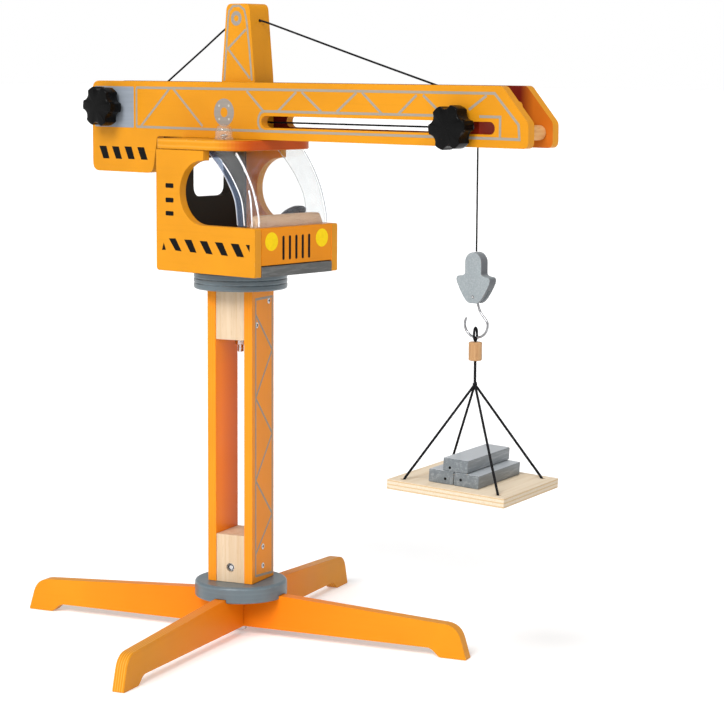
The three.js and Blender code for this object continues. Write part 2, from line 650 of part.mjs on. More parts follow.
// Shield-shaped block with a round lobe on top, sawn from below for the hook's eye.
function hookBlock() {
  const { height, half, lobe, kerf } = HOOK_BLOCK;
  const top = HOOK_TOP;
  const shape = new THREE.Shape();
  shape.moveTo(-4, top - height);
  shape.lineTo(4, top - height);
  shape.quadraticCurveTo(9.5, top - 43, 17.6, top - 27);
  shape.quadraticCurveTo(19.6, top - 21.5, 15.5, top - 21);
  shape.quadraticCurveTo(lobe, top - 20.5, lobe, top - 18);
  shape.lineTo(lobe, top - lobe);
  shape.absarc(0, top - lobe, lobe, 0, Math.PI, false);
  shape.lineTo(-lobe, top - 18);
  shape.quadraticCurveTo(-lobe, top - 20.5, -15.5, top - 21);
  shape.quadraticCurveTo(-19.6, top - 21.5, -17.6, top - 27);
  shape.quadraticCurveTo(-9.5, top - 43, -4, top - height);
  const body = uprightPlate(shape, -half, half, 8).translate(DROP_X, 0, 0);
  const slit = box(DROP_X - 30, DROP_X + 30, -kerf, kerf, top - height - 5, HOOK_PIN_Z + 6);
  const pinHole = rodY(1 + GAP, DROP_X, HOOK_PIN_Z, -10, 10, 12);
  return [
    piece('hook_block', cut(body, slit, pinHole), paint(GREY, 0.5)),
    piece('hook_pin', rodY(1, DROP_X, HOOK_PIN_Z, -half - 0.2, half + 0.2, 12), metal(STEEL)),
  ];
}

// Wire bent into an eye round the pin, a slanting shank and an open round hook.
function wireHook() {
  const eye = { r: 3, z: HOOK_PIN_Z - 0.7 };
  const points = [];
  for (let a = 250; a >= -60; a -= 31) {
    points.push([DROP_X + eye.r * Math.cos(a * RAD), eye.z + eye.r * Math.sin(a * RAD)]);
  }
  points.push([285.6, 333.6], [291, 327.4]);
  const bend = { x: 281.7, z: 321.3, rx: 12.4, rz: 11.1 };
  for (let a = 12; a >= -205; a -= 21.7) {
    points.push([bend.x + bend.rx * Math.cos(a * RAD), bend.z + bend.rz * Math.sin(a * RAD)]);
  }
  return piece('wire_hook', cord(points.map(inPlane), 1, 72), metal(0xd8dadd, 0.15));
}

// Narrow cord loop round the bottom of the hook.
function slingLoop() {
  const half = [[0, 307.3], [2.4, 309.6], [2.7, 313], [1.7, 317], [0, 318.8]];
  const back = half.slice(1, -1).reverse().map(([y, z]) => [-y, z]);
  const points = [...half, ...back].map(([y, z]) => new THREE.Vector3(DROP_X, y, z));
  const path = new THREE.CatmullRomCurve3(points, true, 'centripetal');
  return piece('sling_loop', new THREE.TubeGeometry(path, 30, 0.9, 8, true), paint(BLACK, 0.8));
}

function bead() {
  const [z0, z1] = BEAD_Z;
  const hole = 1.9;
  const edge = 0.7;
  const outside = [[hole, z0], [5.8 - edge, z0], [5.8, z0 + edge], [5.8, z1 - edge], [5.8 - edge, z1]];
  return piece('wood_bead', turned([...outside, [hole, z1], [hole, z0]], 24), paint(0xdcb184, 0.55));
}

const CORNERS = [[1, 1], [1, -1], [-1, 1], [-1, -1]]; // of the pallet

// The pallet and the beams on it lean a little about the middle of the pallet.
const LEAN = new THREE.Matrix4()
  .makeTranslation(0, 0, PALLET.z1)
  .multiply(new THREE.Matrix4().makeRotationY(PALLET.hangs))
  .multiply(new THREE.Matrix4().makeTranslation(0, 0, -PALLET.z1));
const hang = (shape) => shape.applyMatrix4(LEAN);

// The stem, its knot and the four slings are one knotted cord.
function slingCords() {
  const corner = PALLET.side / 2 - PALLET.holeInset;
  const stem = rod(1.2, KNOT_Z, BEAD_Z[1] - 0.2, 8);
  const ball = new THREE.SphereGeometry(2.1, 12, 8).rotateX(Math.PI / 2);
  const knot = ball.scale(1, 1, 1.6).translate(0, 0, KNOT_Z);
  const slings = CORNERS.map(([sx, sy]) => {
    const start = new THREE.Vector3(0, 0, KNOT_Z);
    const hole = hang(new THREE.Vector3(sx * corner, sy * corner, PALLET.z1 - 1));
    const end = hang(new THREE.Vector3(sx * corner, sy * corner, PALLET.z0 + 0.5));
    return cord([start, start.clone().lerp(hole, 0.5), hole, end], 1.1, 12);
  });
  return piece('sling_cords', join(knot, stem, ...slings), paint(BLACK, 0.8));
}

function pallet() {
  const half = PALLET.side / 2;
  const corner = half - PALLET.holeInset;
  const hole = () => rod(2.6, PALLET.z0 - 2, PALLET.z1 + 2, 14);
  const holes = CORNERS.map(([sx, sy]) => hole().translate(sx * corner, sy * corner, 0));
  const slab = flatPlate(rectangle(-half, -half, half, half, 0.8), PALLET.z0, PALLET.z1);
  return piece('pallet', hang(cut(slab, ...holes)), paint(PLY, 0.6));
}

function beams() {
  const { length, width, height, y } = BEAM;
  const beam = (name, x, z) => {
    const outline = rectangle(x - width / 2 + GAP, z, x + width / 2 - GAP, z + height, 1);
    return piece(name, hang(uprightPlate(outline, y - length / 2, y + length / 2, 3)), paint(GREY, 0.6));
  };
  const low = PALLET.z1 + GAP;
  return [
    beam('beam_lower_left', -0.6 - width / 2, low),
    beam('beam_lower_right', -0.6 + width / 2, low),
    beam('beam_top', 0.4, low + height + GAP),
  ];
}

function load() {
  const group = new THREE.Group();
  group.position.set(DROP_X, 0, 0);
  group.rotation.z = LOAD_TURN;
  group.add(bead(), slingCords(), pallet(), ...beams());
  return group;
}

// ---- The crane -------------------------------------------------------------------------------

const crane = new THREE.Group();
crane.add(stand(), ...cab(), ...jibBoards(), peakBlock(), ...jibSpacers(), stayCord(), ...winch());
crane.add(...hoistCord(), ...trolley(), ...hookBlock(), wireHook(), slingLoop(), load());

export default crane;
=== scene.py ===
"""Toy tower crane in painted plywood and beech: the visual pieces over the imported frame.

Shapes are written in millimetres in the crane's own frame and scaled to metres when a piece is made.
"""

import json
import math

import bmesh
import bpy
from mathutils import Matrix, Vector

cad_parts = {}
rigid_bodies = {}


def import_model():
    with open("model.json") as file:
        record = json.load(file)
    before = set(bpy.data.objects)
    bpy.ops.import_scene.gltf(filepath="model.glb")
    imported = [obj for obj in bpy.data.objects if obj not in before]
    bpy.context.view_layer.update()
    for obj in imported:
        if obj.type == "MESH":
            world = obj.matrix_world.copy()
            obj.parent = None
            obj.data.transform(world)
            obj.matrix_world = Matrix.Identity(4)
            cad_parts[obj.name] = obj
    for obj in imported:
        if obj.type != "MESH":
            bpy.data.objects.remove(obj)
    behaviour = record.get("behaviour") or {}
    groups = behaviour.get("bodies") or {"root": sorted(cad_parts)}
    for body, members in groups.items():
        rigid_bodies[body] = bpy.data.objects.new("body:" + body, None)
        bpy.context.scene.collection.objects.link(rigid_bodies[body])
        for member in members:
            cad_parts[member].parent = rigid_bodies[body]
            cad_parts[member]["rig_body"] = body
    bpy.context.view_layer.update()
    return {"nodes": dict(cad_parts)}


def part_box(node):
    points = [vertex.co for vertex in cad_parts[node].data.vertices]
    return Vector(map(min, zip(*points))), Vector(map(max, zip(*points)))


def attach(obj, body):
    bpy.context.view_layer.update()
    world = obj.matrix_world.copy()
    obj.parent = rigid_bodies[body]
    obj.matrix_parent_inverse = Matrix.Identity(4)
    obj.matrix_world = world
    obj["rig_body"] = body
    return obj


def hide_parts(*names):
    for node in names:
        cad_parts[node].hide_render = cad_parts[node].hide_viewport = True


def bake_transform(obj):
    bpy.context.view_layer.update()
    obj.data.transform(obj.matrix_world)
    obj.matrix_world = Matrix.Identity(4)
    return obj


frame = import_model()
nodes = frame["nodes"]
MM = 0.001

# Frames that parts are drawn in: the stand is turned on the floor, the load hangs turned and leaning.
CRANE = Matrix.Identity(4)
STAND = Matrix.Rotation(math.radians(16.4), 4, "Z")
DROP_X = 281.05
LOAD = Matrix.Translation((DROP_X, 0, 0)) @ Matrix.Rotation(math.radians(11.6), 4, "Z")
DECK = (LOAD @ Matrix.Translation((0, 0, 185.5)) @ Matrix.Rotation(math.radians(3.3), 4, "Y")
        @ Matrix.Translation((0, 0, -185.5)))


# ---- Camera, stage and light -----------------------------------------------------------------

def make_camera():
    """The photograph's viewpoint: a long lens that looks down by seven or eight degrees."""
    place = Vector((1.47808, -1.55543, 0.54554))
    right = Vector((0.76036263, 0.64947204, 0.0058938))
    up = Vector((-0.08904597, 0.09525237, 0.99146246))
    turn = Matrix((right, up, right.cross(up))).transposed()
    data = bpy.data.cameras.new("camera")
    data.lens = 112.92
    data.sensor_width = 36.0
    data.clip_start = 0.05
    data.clip_end = 200.0
    camera = bpy.data.objects.new("camera", data)
    camera.matrix_world = Matrix.Translation(place) @ turn.to_4x4()
    bpy.context.scene.collection.objects.link(camera)
    bpy.context.scene.camera = camera


def add_light(name, kind, toward, power, **settings):
    """A light that shines from the given direction, or place, onto the crane."""
    data = bpy.data.lights.new(name, kind)
    data.energy = power
    for key, value in settings.items():
        setattr(data, key, value)
    light = bpy.data.objects.new(name, data)
    light.location = toward
    aim = Vector((0, 0, 0.3)) - Vector(toward)
    light.rotation_euler = aim.to_track_quat("-Z", "Y").to_euler()
    bpy.context.scene.collection.objects.link(light)


def make_world():
    """White at eye level and below, half as bright overhead."""
    world = bpy.data.worlds.new("studio")
    bpy.context.scene.world = world
    world.use_nodes = True
    tree = world.node_tree
    coords = tree.nodes.new("ShaderNodeTexCoord")
    split = tree.nodes.new("ShaderNodeSeparateXYZ")
    fade = tree.nodes.new("ShaderNodeMapRange")
    for key, number in (("From Min", 0.06), ("From Max", 0.3), ("To Min", 1.0), ("To Max", 0.5)):
        fade.inputs[key].default_value = number
    background = tree.nodes["Background"]
    background.inputs["Color"].default_value = (1, 1, 1, 1)
    tree.links.new(coords.outputs["Generated"], split.inputs[0])
    tree.links.new(split.outputs["Z"], fade.inputs["Value"])
    tree.links.new(fade.outputs["Result"], background.inputs["Strength"])


def make_stage():
    """A wide pale floor, a little bright of its own, so that shadows stay light."""
    mesh = bpy.data.meshes.new("floor")
    half, level = 40, -0.0003
    corners = [(-half, -half, level), (half, -half, level), (half, half, level), (-half, half, level)]
    mesh.from_pydata(corners, [], [(0, 1, 2, 3)])
    floor = bpy.data.objects.new("floor", mesh)
    bpy.context.scene.collection.objects.link(floor)
    material = bpy.data.materials.new("floor_pale")
    material.use_nodes = True
    shader = material.node_tree.nodes["Principled BSDF"]
    shader.inputs["Base Color"].default_value = (0.9, 0.9, 0.9, 1)
    shader.inputs["Roughness"].default_value = 0.8
    shader.inputs["Specular IOR Level"].default_value = 0.1
    shader.inputs["Emission Color"].default_value = (1, 1, 1, 1)
    shader.inputs["Emission Strength"].default_value = 0.22
    mesh.materials.append(material)


make_camera()
make_world()
make_stage()
add_light("key", "SUN", (0.55, -2.3, 2.3), 3.0, angle=math.radians(32))
add_light("glint", "AREA", (1.9, -1.3, 1.4), 7, size=0.5)
bpy.context.scene.view_settings.view_transform = "Standard"


# ---- Materials -------------------------------------------------------------------------------

class Shader:
    """A material being built: short calls that add and join nodes.

    Pieces carry their own place as the attribute "at", and the face values "edge" (eased or worn edge),
    "cut" (sawn edge of a board) and "inner" (how far a face takes its material's colour of painted light:
    painted shade or bounce light in a gap or on a side turned from the light, a painted highlight on a
    beam's top).
    """

    def __init__(self, name):
        self.material = bpy.data.materials.new(name)
        self.material.use_nodes = True
        self.tree = self.material.node_tree
        self.bsdf = self.tree.nodes["Principled BSDF"]
        self.at = self.node("ShaderNodeAttribute", attribute_name="at").outputs["Vector"]

    def node(self, kind, **settings):
        made = self.tree.nodes.new(kind)
        for key, value in settings.items():
            setattr(made, key, value)
        return made

    def feed(self, socket, value):
        if hasattr(value, "is_linked"):
            self.tree.links.new(value, socket)
        elif isinstance(value, tuple) and len(value) == 3 and socket.type == "RGBA":
            socket.default_value = (*value, 1)
        else:
            socket.default_value = value

    def math(self, operation, a, b=0.0, clamp=False):
        node = self.node("ShaderNodeMath", operation=operation, use_clamp=clamp)
        self.feed(node.inputs[0], a)
        self.feed(node.inputs[1], b)
        return node.outputs[0]

    def stretched(self, scale):
        node = self.node("ShaderNodeMapping")
        self.feed(node.inputs["Vector"], self.at)
        node.inputs["Scale"].default_value = scale
        return node.outputs[0]

    def noise(self, scale, detail=3.0, rough=0.5, distort=0.0):
        """Noise at one scale, or at a scale for each axis."""
        node = self.node("ShaderNodeTexNoise")
        even = not isinstance(scale, tuple)
        self.feed(node.inputs["Vector"], self.at if even else self.stretched(scale))
        node.inputs["Scale"].default_value = scale if even else 1.0
        node.inputs["Detail"].default_value = detail
        node.inputs["Roughness"].default_value = rough
        node.inputs["Distortion"].default_value = distort
        return node.outputs["Fac"]

    def ramp(self, value, low, high, to_low=0.0, to_high=1.0):
        node = self.node("ShaderNodeMapRange")
        self.feed(node.inputs["Value"], value)
        for key, number in zip(("From Min", "From Max", "To Min", "To Max"), (low, high, to_low, to_high)):
            node.inputs[key].default_value = number
        return node.outputs["Result"]

    def mix(self, amount, a, b):
        node = self.node("ShaderNodeMix", data_type="RGBA")
        self.feed(node.inputs[0], amount)
        self.feed(node.inputs[6], a)
        self.feed(node.inputs[7], b)
        return node.outputs[2]

    def value(self, name):
        return self.node("ShaderNodeAttribute", attribute_name=name).outputs["Fac"]

    def along(self, axis):
        split = self.node("ShaderNodeSeparateXYZ")
        self.feed(split.inputs[0], self.at)
        return split.outputs["XYZ".index(axis)]

    def bump(self, height, depth):
        node = self.node("ShaderNodeBump")
        node.inputs["Strength"].default_value = 1.0
        node.inputs["Distance"].default_value = depth
        self.feed(node.inputs["Height"], height)
        return node.outputs["Normal"]

    def finish(self, color, roughness, normal, metal=0.0, shine=0.5):
        self.feed(self.bsdf.inputs["Base Color"], color)
        self.feed(self.bsdf.inputs["Roughness"], roughness)
        self.bsdf.inputs["Metallic"].default_value = metal
        self.bsdf.inputs["Specular IOR Level"].default_value = shine
        self.tree.links.new(normal, self.bsdf.inputs["Normal"])
        return self.material


def linear(red, green, blue):
    """Display colour from 0 to 255 as the linear colour that shaders take."""
    def one(value):
        value /= 255
        return value / 12.92 if value <= 0.04045 else ((value + 0.055) / 1.055) ** 2.4

    return (one(red), one(green), one(blue))


def shade(color, factor):
    return tuple(min(1.0, part * factor) for part in color)


GRAIN = {"X": (7, 230, 230), "Y": (230, 7, 230), "Z": (230, 230, 7)}


def painted_wood(name, color, grain="X", thick=None, wear=0.5, rough=0.4, plies=5, width=8.5, marks=0.3,
                 inner=None, fade=None, hub_shade=None, streaks=0.0, shine=0.12):
    """Satin paint over wood. The grain shows as fine relief, edges are rubbed thin, and the sawn edges of a
    board, across its thick axis, show its layers. Faces marked inner take a colour of painted light
    (painted shade or bounce light in a gap or on a side turned from the light, a painted highlight on a
    top), which may fade to (colour, axis, start, end). The hub colour is painted shade that reddens the
    middle, where the legs meet; streaks are pale scuffs."""
    s = Shader(name)
    fibres = s.noise(GRAIN[grain], detail=4, rough=0.6)
    cloud = s.noise(14, detail=2)
    peel = s.noise(1400, detail=1)
    tone = s.mix(s.ramp(cloud, 0.35, 0.65), shade(color, 0.94), shade(color, 1.05))
    tone = s.mix(s.ramp(fibres, 0.54, 0.78, 0, 0.3), tone, shade(color, 0.8))
    height = s.math("ADD", s.math("MULTIPLY", fibres, 0.8), s.math("MULTIPLY", peel, 0.25))
    if thick:
        angle = s.math("MULTIPLY", s.along(thick), 2 * math.pi * plies / (width * MM))
        wobble = s.math("MULTIPLY", s.noise(60, detail=2), 1.6)
        layers = s.math("SINE", s.math("ADD", angle, wobble))
        marked = s.math("MULTIPLY", s.ramp(layers, 0.2, 0.95, 0, marks), s.value("cut"))
        tone = s.mix(marked, tone, shade(color, 0.68))
        pale = s.math("MULTIPLY", s.ramp(layers, -0.95, -0.3, marks, 0), s.value("cut"))
        tone = s.mix(pale, tone, linear(240, 190, 110))
        height = s.math("SUBTRACT", height, s.math("MULTIPLY", marked, 1.6))
    patches = s.ramp(s.noise(260), 0.42, 0.62)
    edge = s.value("edge")
    rubbed = s.math("MULTIPLY", edge, s.math("ADD", s.math("MULTIPLY", patches, 0.5), 0.2))
    tone = s.mix(s.math("MULTIPLY", rubbed, wear), tone, shade(color, 0.6))
    chips = s.ramp(s.noise(520, detail=2), 0.68, 0.71)
    tone = s.mix(s.math("MULTIPLY", s.math("MULTIPLY", edge, chips), wear), tone, linear(226, 190, 140))
    # Painted shade: a deeper red towards the middle, where the legs meet.
    if hub_shade:
        reach = s.node("ShaderNodeVectorMath", operation="LENGTH")
        s.feed(reach.inputs[0], s.stretched((1, 1, 0)))
        tone = s.mix(s.ramp(reach.outputs["Value"], 0.03, 0.19, 0.95, 0.1), tone, hub_shade)
    if streaks:
        bare = s.noise((400, 40, 400) if grain == "Y" else (700, 700, 700), detail=4, rough=0.7)
        tone = s.mix(s.ramp(bare, 0.5, 0.66, 0, streaks), tone, linear(188, 190, 190))
        tone = s.mix(s.ramp(bare, 0.34, 0.46, streaks, 0), tone, shade(color, 0.55))
    # Inner faces take a colour of painted light, faded along an axis when fade is given.
    if inner:
        painted_light_tone = s.mix(s.ramp(s.along(fade[1]), *fade[2:]), inner, fade[0]) if fade else inner
        tone = s.mix(s.value("inner"), tone, painted_light_tone)
    gloss = s.ramp(cloud, 0.3, 0.7, rough - 0.05, rough + 0.07)
    return s.finish(tone, gloss, s.bump(height, 0.00007), shine=shine)


def bare_wood(name, light, dark, grain, flecks=0.5):
    """Sanded wood: long fibres, broad tone bands and short dark flecks."""
    s = Shader(name)
    fibres = s.noise(GRAIN[grain], detail=5, rough=0.65)
    bands = s.noise(tuple(part * 0.16 for part in GRAIN[grain]), detail=2, distort=0.6)
    fleck = s.noise(tuple(800 if part > 100 else 100 for part in GRAIN[grain]), detail=1)
    tone = s.mix(s.ramp(bands, 0.35, 0.65), light, shade(light, 0.9))
    tone = s.mix(s.ramp(fibres, 0.42, 0.72, 0, 0.75), tone, dark)
    specks = s.ramp(fleck, 0.6, 0.67, 0, flecks)
    tone = s.mix(specks, tone, shade(dark, 0.7))
    tone = s.mix(s.math("MULTIPLY", s.value("edge"), 0.25), tone, shade(dark, 0.85))
    height = s.math("SUBTRACT", fibres, s.math("MULTIPLY", specks, 0.6))
    gloss = s.ramp(fibres, 0.3, 0.7, 0.49, 0.63)
    return s.finish(tone, gloss, s.bump(height, 0.00006), shine=0.15)


def ply_sheet(name, light, dark, grain):
    """Bare plywood lying flat: grain on its faces, alternating layers on its edges."""
    layers, board, middle = 2.5, 8.5, 181.25  # pairs of layers, the board's thickness and mid height
    s = Shader(name)
    fibres = s.noise(GRAIN[grain], detail=5, rough=0.6, distort=0.3)
    bands = s.noise(tuple(part * 0.12 for part in GRAIN[grain]), detail=2, distort=1.2)
    tone = s.mix(s.ramp(bands, 0.35, 0.68), light, shade(light, 0.9))
    tone = s.mix(s.ramp(fibres, 0.45, 0.78, 0, 0.65), tone, dark)
    height = s.math("SUBTRACT", s.along("Z"), middle * MM)
    wave = s.math("COSINE", s.math("MULTIPLY", height, 2 * math.pi * layers / (board * MM)))
    layer = s.ramp(wave, 0.35, 0.75)
    end_grain = s.noise((900, 900, 1800), detail=3)
    edge_tone = s.mix(layer, shade(light, 0.84), shade(dark, 0.95))
    edge_tone = s.mix(s.ramp(end_grain, 0.45, 0.7, 0, 0.4), edge_tone, shade(dark, 0.66))
    tone = s.mix(s.value("cut"), tone, edge_tone)
    relief = s.math("ADD", fibres, s.math("MULTIPLY", s.math("MULTIPLY", layer, s.value("cut")), 0.8))
    return s.finish(tone, s.ramp(fibres, 0.3, 0.7, 0.56, 0.7), s.bump(relief, 0.00008), shine=0.15)


def turned_paint(name, color):
    """Paint on a turned disc, with fine tool rings on its rim."""
    s = Shader(name)
    rings = s.math("MULTIPLY", s.noise((10, 10, 620), detail=2), s.value("cut"))
    cloud = s.noise(22)
    tone = s.mix(s.ramp(cloud, 0.35, 0.65), shade(color, 0.9), shade(color, 1.08))
    tone = s.mix(s.ramp(rings, 0.5, 0.66, 0, 0.25), tone, shade(color, 1.35))
    tone = s.mix(s.math("MULTIPLY", s.value("edge"), s.ramp(s.noise(200), 0.4, 0.65, 0, 0.4)), tone,
                 shade(color, 1.5))
    height = s.math("ADD", s.math("MULTIPLY", rings, 0.7), s.math("MULTIPLY", s.noise(1300, detail=1), 0.2))
    return s.finish(tone, s.ramp(cloud, 0.3, 0.7, 0.3, 0.42), s.bump(height, 0.00012), shine=0.4)


def plastic(name, color, rough):
    """Moulded plastic: fine pores and edges rubbed a little paler."""
    s = Shader(name)
    pores = s.noise(1500, detail=2)
    cloud = s.noise(60, detail=2)
    tone = s.mix(s.ramp(cloud, 0.3, 0.7), shade(color, 0.8), shade(color, 1.2))
    tone = s.mix(s.math("MULTIPLY", s.value("edge"), 0.35), tone, shade(color, 2.6))
    gloss = s.ramp(cloud, 0.3, 0.7, rough - 0.05, rough + 0.1)
    return s.finish(tone, gloss, s.bump(pores, 0.00002), shine=0.08)


def steel(name, color, rough=0.28):
    """Bright metal with fine scratches; painted shade darkens the recess of a screw."""
    s = Shader(name)
    scratches = s.noise((300, 2200, 900), detail=3)
    cloud = s.noise(300, detail=2)
    tone = s.mix(s.ramp(cloud, 0.35, 0.65), shade(color, 0.75), shade(color, 1.1))
    # Painted shade in a screw's recess.
    tone = s.mix(s.value("recess_shade"), tone, shade(color, 0.04))
    gloss = s.ramp(scratches, 0.3, 0.7, rough - 0.1, rough + 0.15)
    return s.finish(tone, gloss, s.bump(scratches, 0.00001), metal=1.0)


def braid(name, color):
    """Braided cord: two crossing sets of strands over the tube's own length and girth."""
    pitch, around = 420, 3  # strands in a metre of length, and round the cord
    s = Shader(name)
    uv = s.node("ShaderNodeSeparateXYZ")
    s.feed(uv.inputs[0], s.node("ShaderNodeTexCoord").outputs["UV"])
    along = s.math("MULTIPLY", uv.outputs[0], pitch * 2 * math.pi)
    girth = s.math("MULTIPLY", uv.outputs[1], around * 2 * math.pi)
    left = s.math("SINE", s.math("ADD", along, girth))
    right = s.math("SINE", s.math("SUBTRACT", along, girth))
    weave = s.math("MAXIMUM", left, right)
    fuzz = s.noise(2600, detail=2)
    tone = s.mix(s.ramp(weave, -0.4, 1.0), shade(color, 0.4), shade(color, 1.8))
    tone = s.mix(s.ramp(fuzz, 0.6, 0.75, 0, 0.4), tone, shade(color, 3.0))
    height = s.math("ADD", weave, s.math("MULTIPLY", fuzz, 0.5))
    return s.finish(tone, s.ramp(fuzz, 0.3, 0.7, 0.75, 0.95), s.bump(height, 0.00014), shine=0.12)


def ink(name, color, rough=0.5):
    """Printed ink: a little uneven in cover, following the wood under it."""
    s = Shader(name)
    fibres = s.noise((20, 400, 400))
    speck = s.noise(2600, detail=2)
    tone = s.mix(s.ramp(fibres, 0.4, 0.7, 0, 0.5), color, shade(color, 0.84))
    tone = s.mix(s.ramp(speck, 0.66, 0.72, 0, 0.35), tone, shade(color, 1.25))
    gloss = s.ramp(fibres, 0.3, 0.7, rough - 0.05, rough + 0.1)
    return s.finish(tone, gloss, s.bump(fibres, 0.00003), shine=0.08)


def clear_plastic(name, tint=(0.985, 0.99, 0.99), haze_and_painted_light=0.02, body=(0.9, 0.93, 0.95), gloss=0.75):
    """Thin clear sheet: straight through, with reflections that grow at a slant. The haze share, mixing in
    a diffuse body colour, is real haze on the canopy and beacon, and painted light on the blue-grey band
    and the whitish highlight lines.
    """
    s = Shader(name)
    normal = s.bump(s.noise(30, detail=1), 0.0002)
    facing = s.node("ShaderNodeLayerWeight")
    facing.inputs["Blend"].default_value = 0.5
    slant = s.math("POWER", facing.outputs["Facing"], 4.0)
    through = s.node("ShaderNodeBsdfTransparent")
    through.inputs["Color"].default_value = (*tint, 1)
    mirror = s.node("ShaderNodeBsdfGlossy")
    mirror.inputs["Roughness"].default_value = 0.05
    s.tree.links.new(normal, mirror.inputs["Normal"])
    glazed = s.node("ShaderNodeMixShader")
    s.feed(glazed.inputs[0], s.math("ADD", s.math("MULTIPLY", slant, gloss), 0.03, clamp=True))
    s.tree.links.new(through.outputs[0], glazed.inputs[1])
    s.tree.links.new(mirror.outputs[0], glazed.inputs[2])
    haze_and_painted_light_mix = s.node("ShaderNodeMixShader")
    s.feed(haze_and_painted_light_mix.inputs[0], s.ramp(s.noise(90), 0.3, 0.7, haze_and_painted_light * 0.6, haze_and_painted_light * 1.4))
    s.bsdf.inputs["Base Color"].default_value = (*body, 1)
    s.bsdf.inputs["Roughness"].default_value = 0.2
    s.tree.links.new(glazed.outputs[0], haze_and_painted_light_mix.inputs[1])
    s.tree.links.new(s.bsdf.outputs[0], haze_and_painted_light_mix.inputs[2])
    s.tree.links.new(haze_and_painted_light_mix.outputs[0], s.tree.nodes["Material Output"].inputs["Surface"])
    return s.material


ORANGE = (0.565, 0.225, 0.007)
JIB_GAP_PAINTED_SHADE = (0.13, 0.009, 0.004)  # painted shade inside the jib: the orange as lit only off other paint
LEG_HUB_PAINTED_SHADE = (0.72, 0.17, 0.003)  # painted shade: the legs redden towards the middle, in the shade between each other
LIGHT_BEECH, DARK_BEECH = linear(204, 182, 154), linear(186, 154, 118)

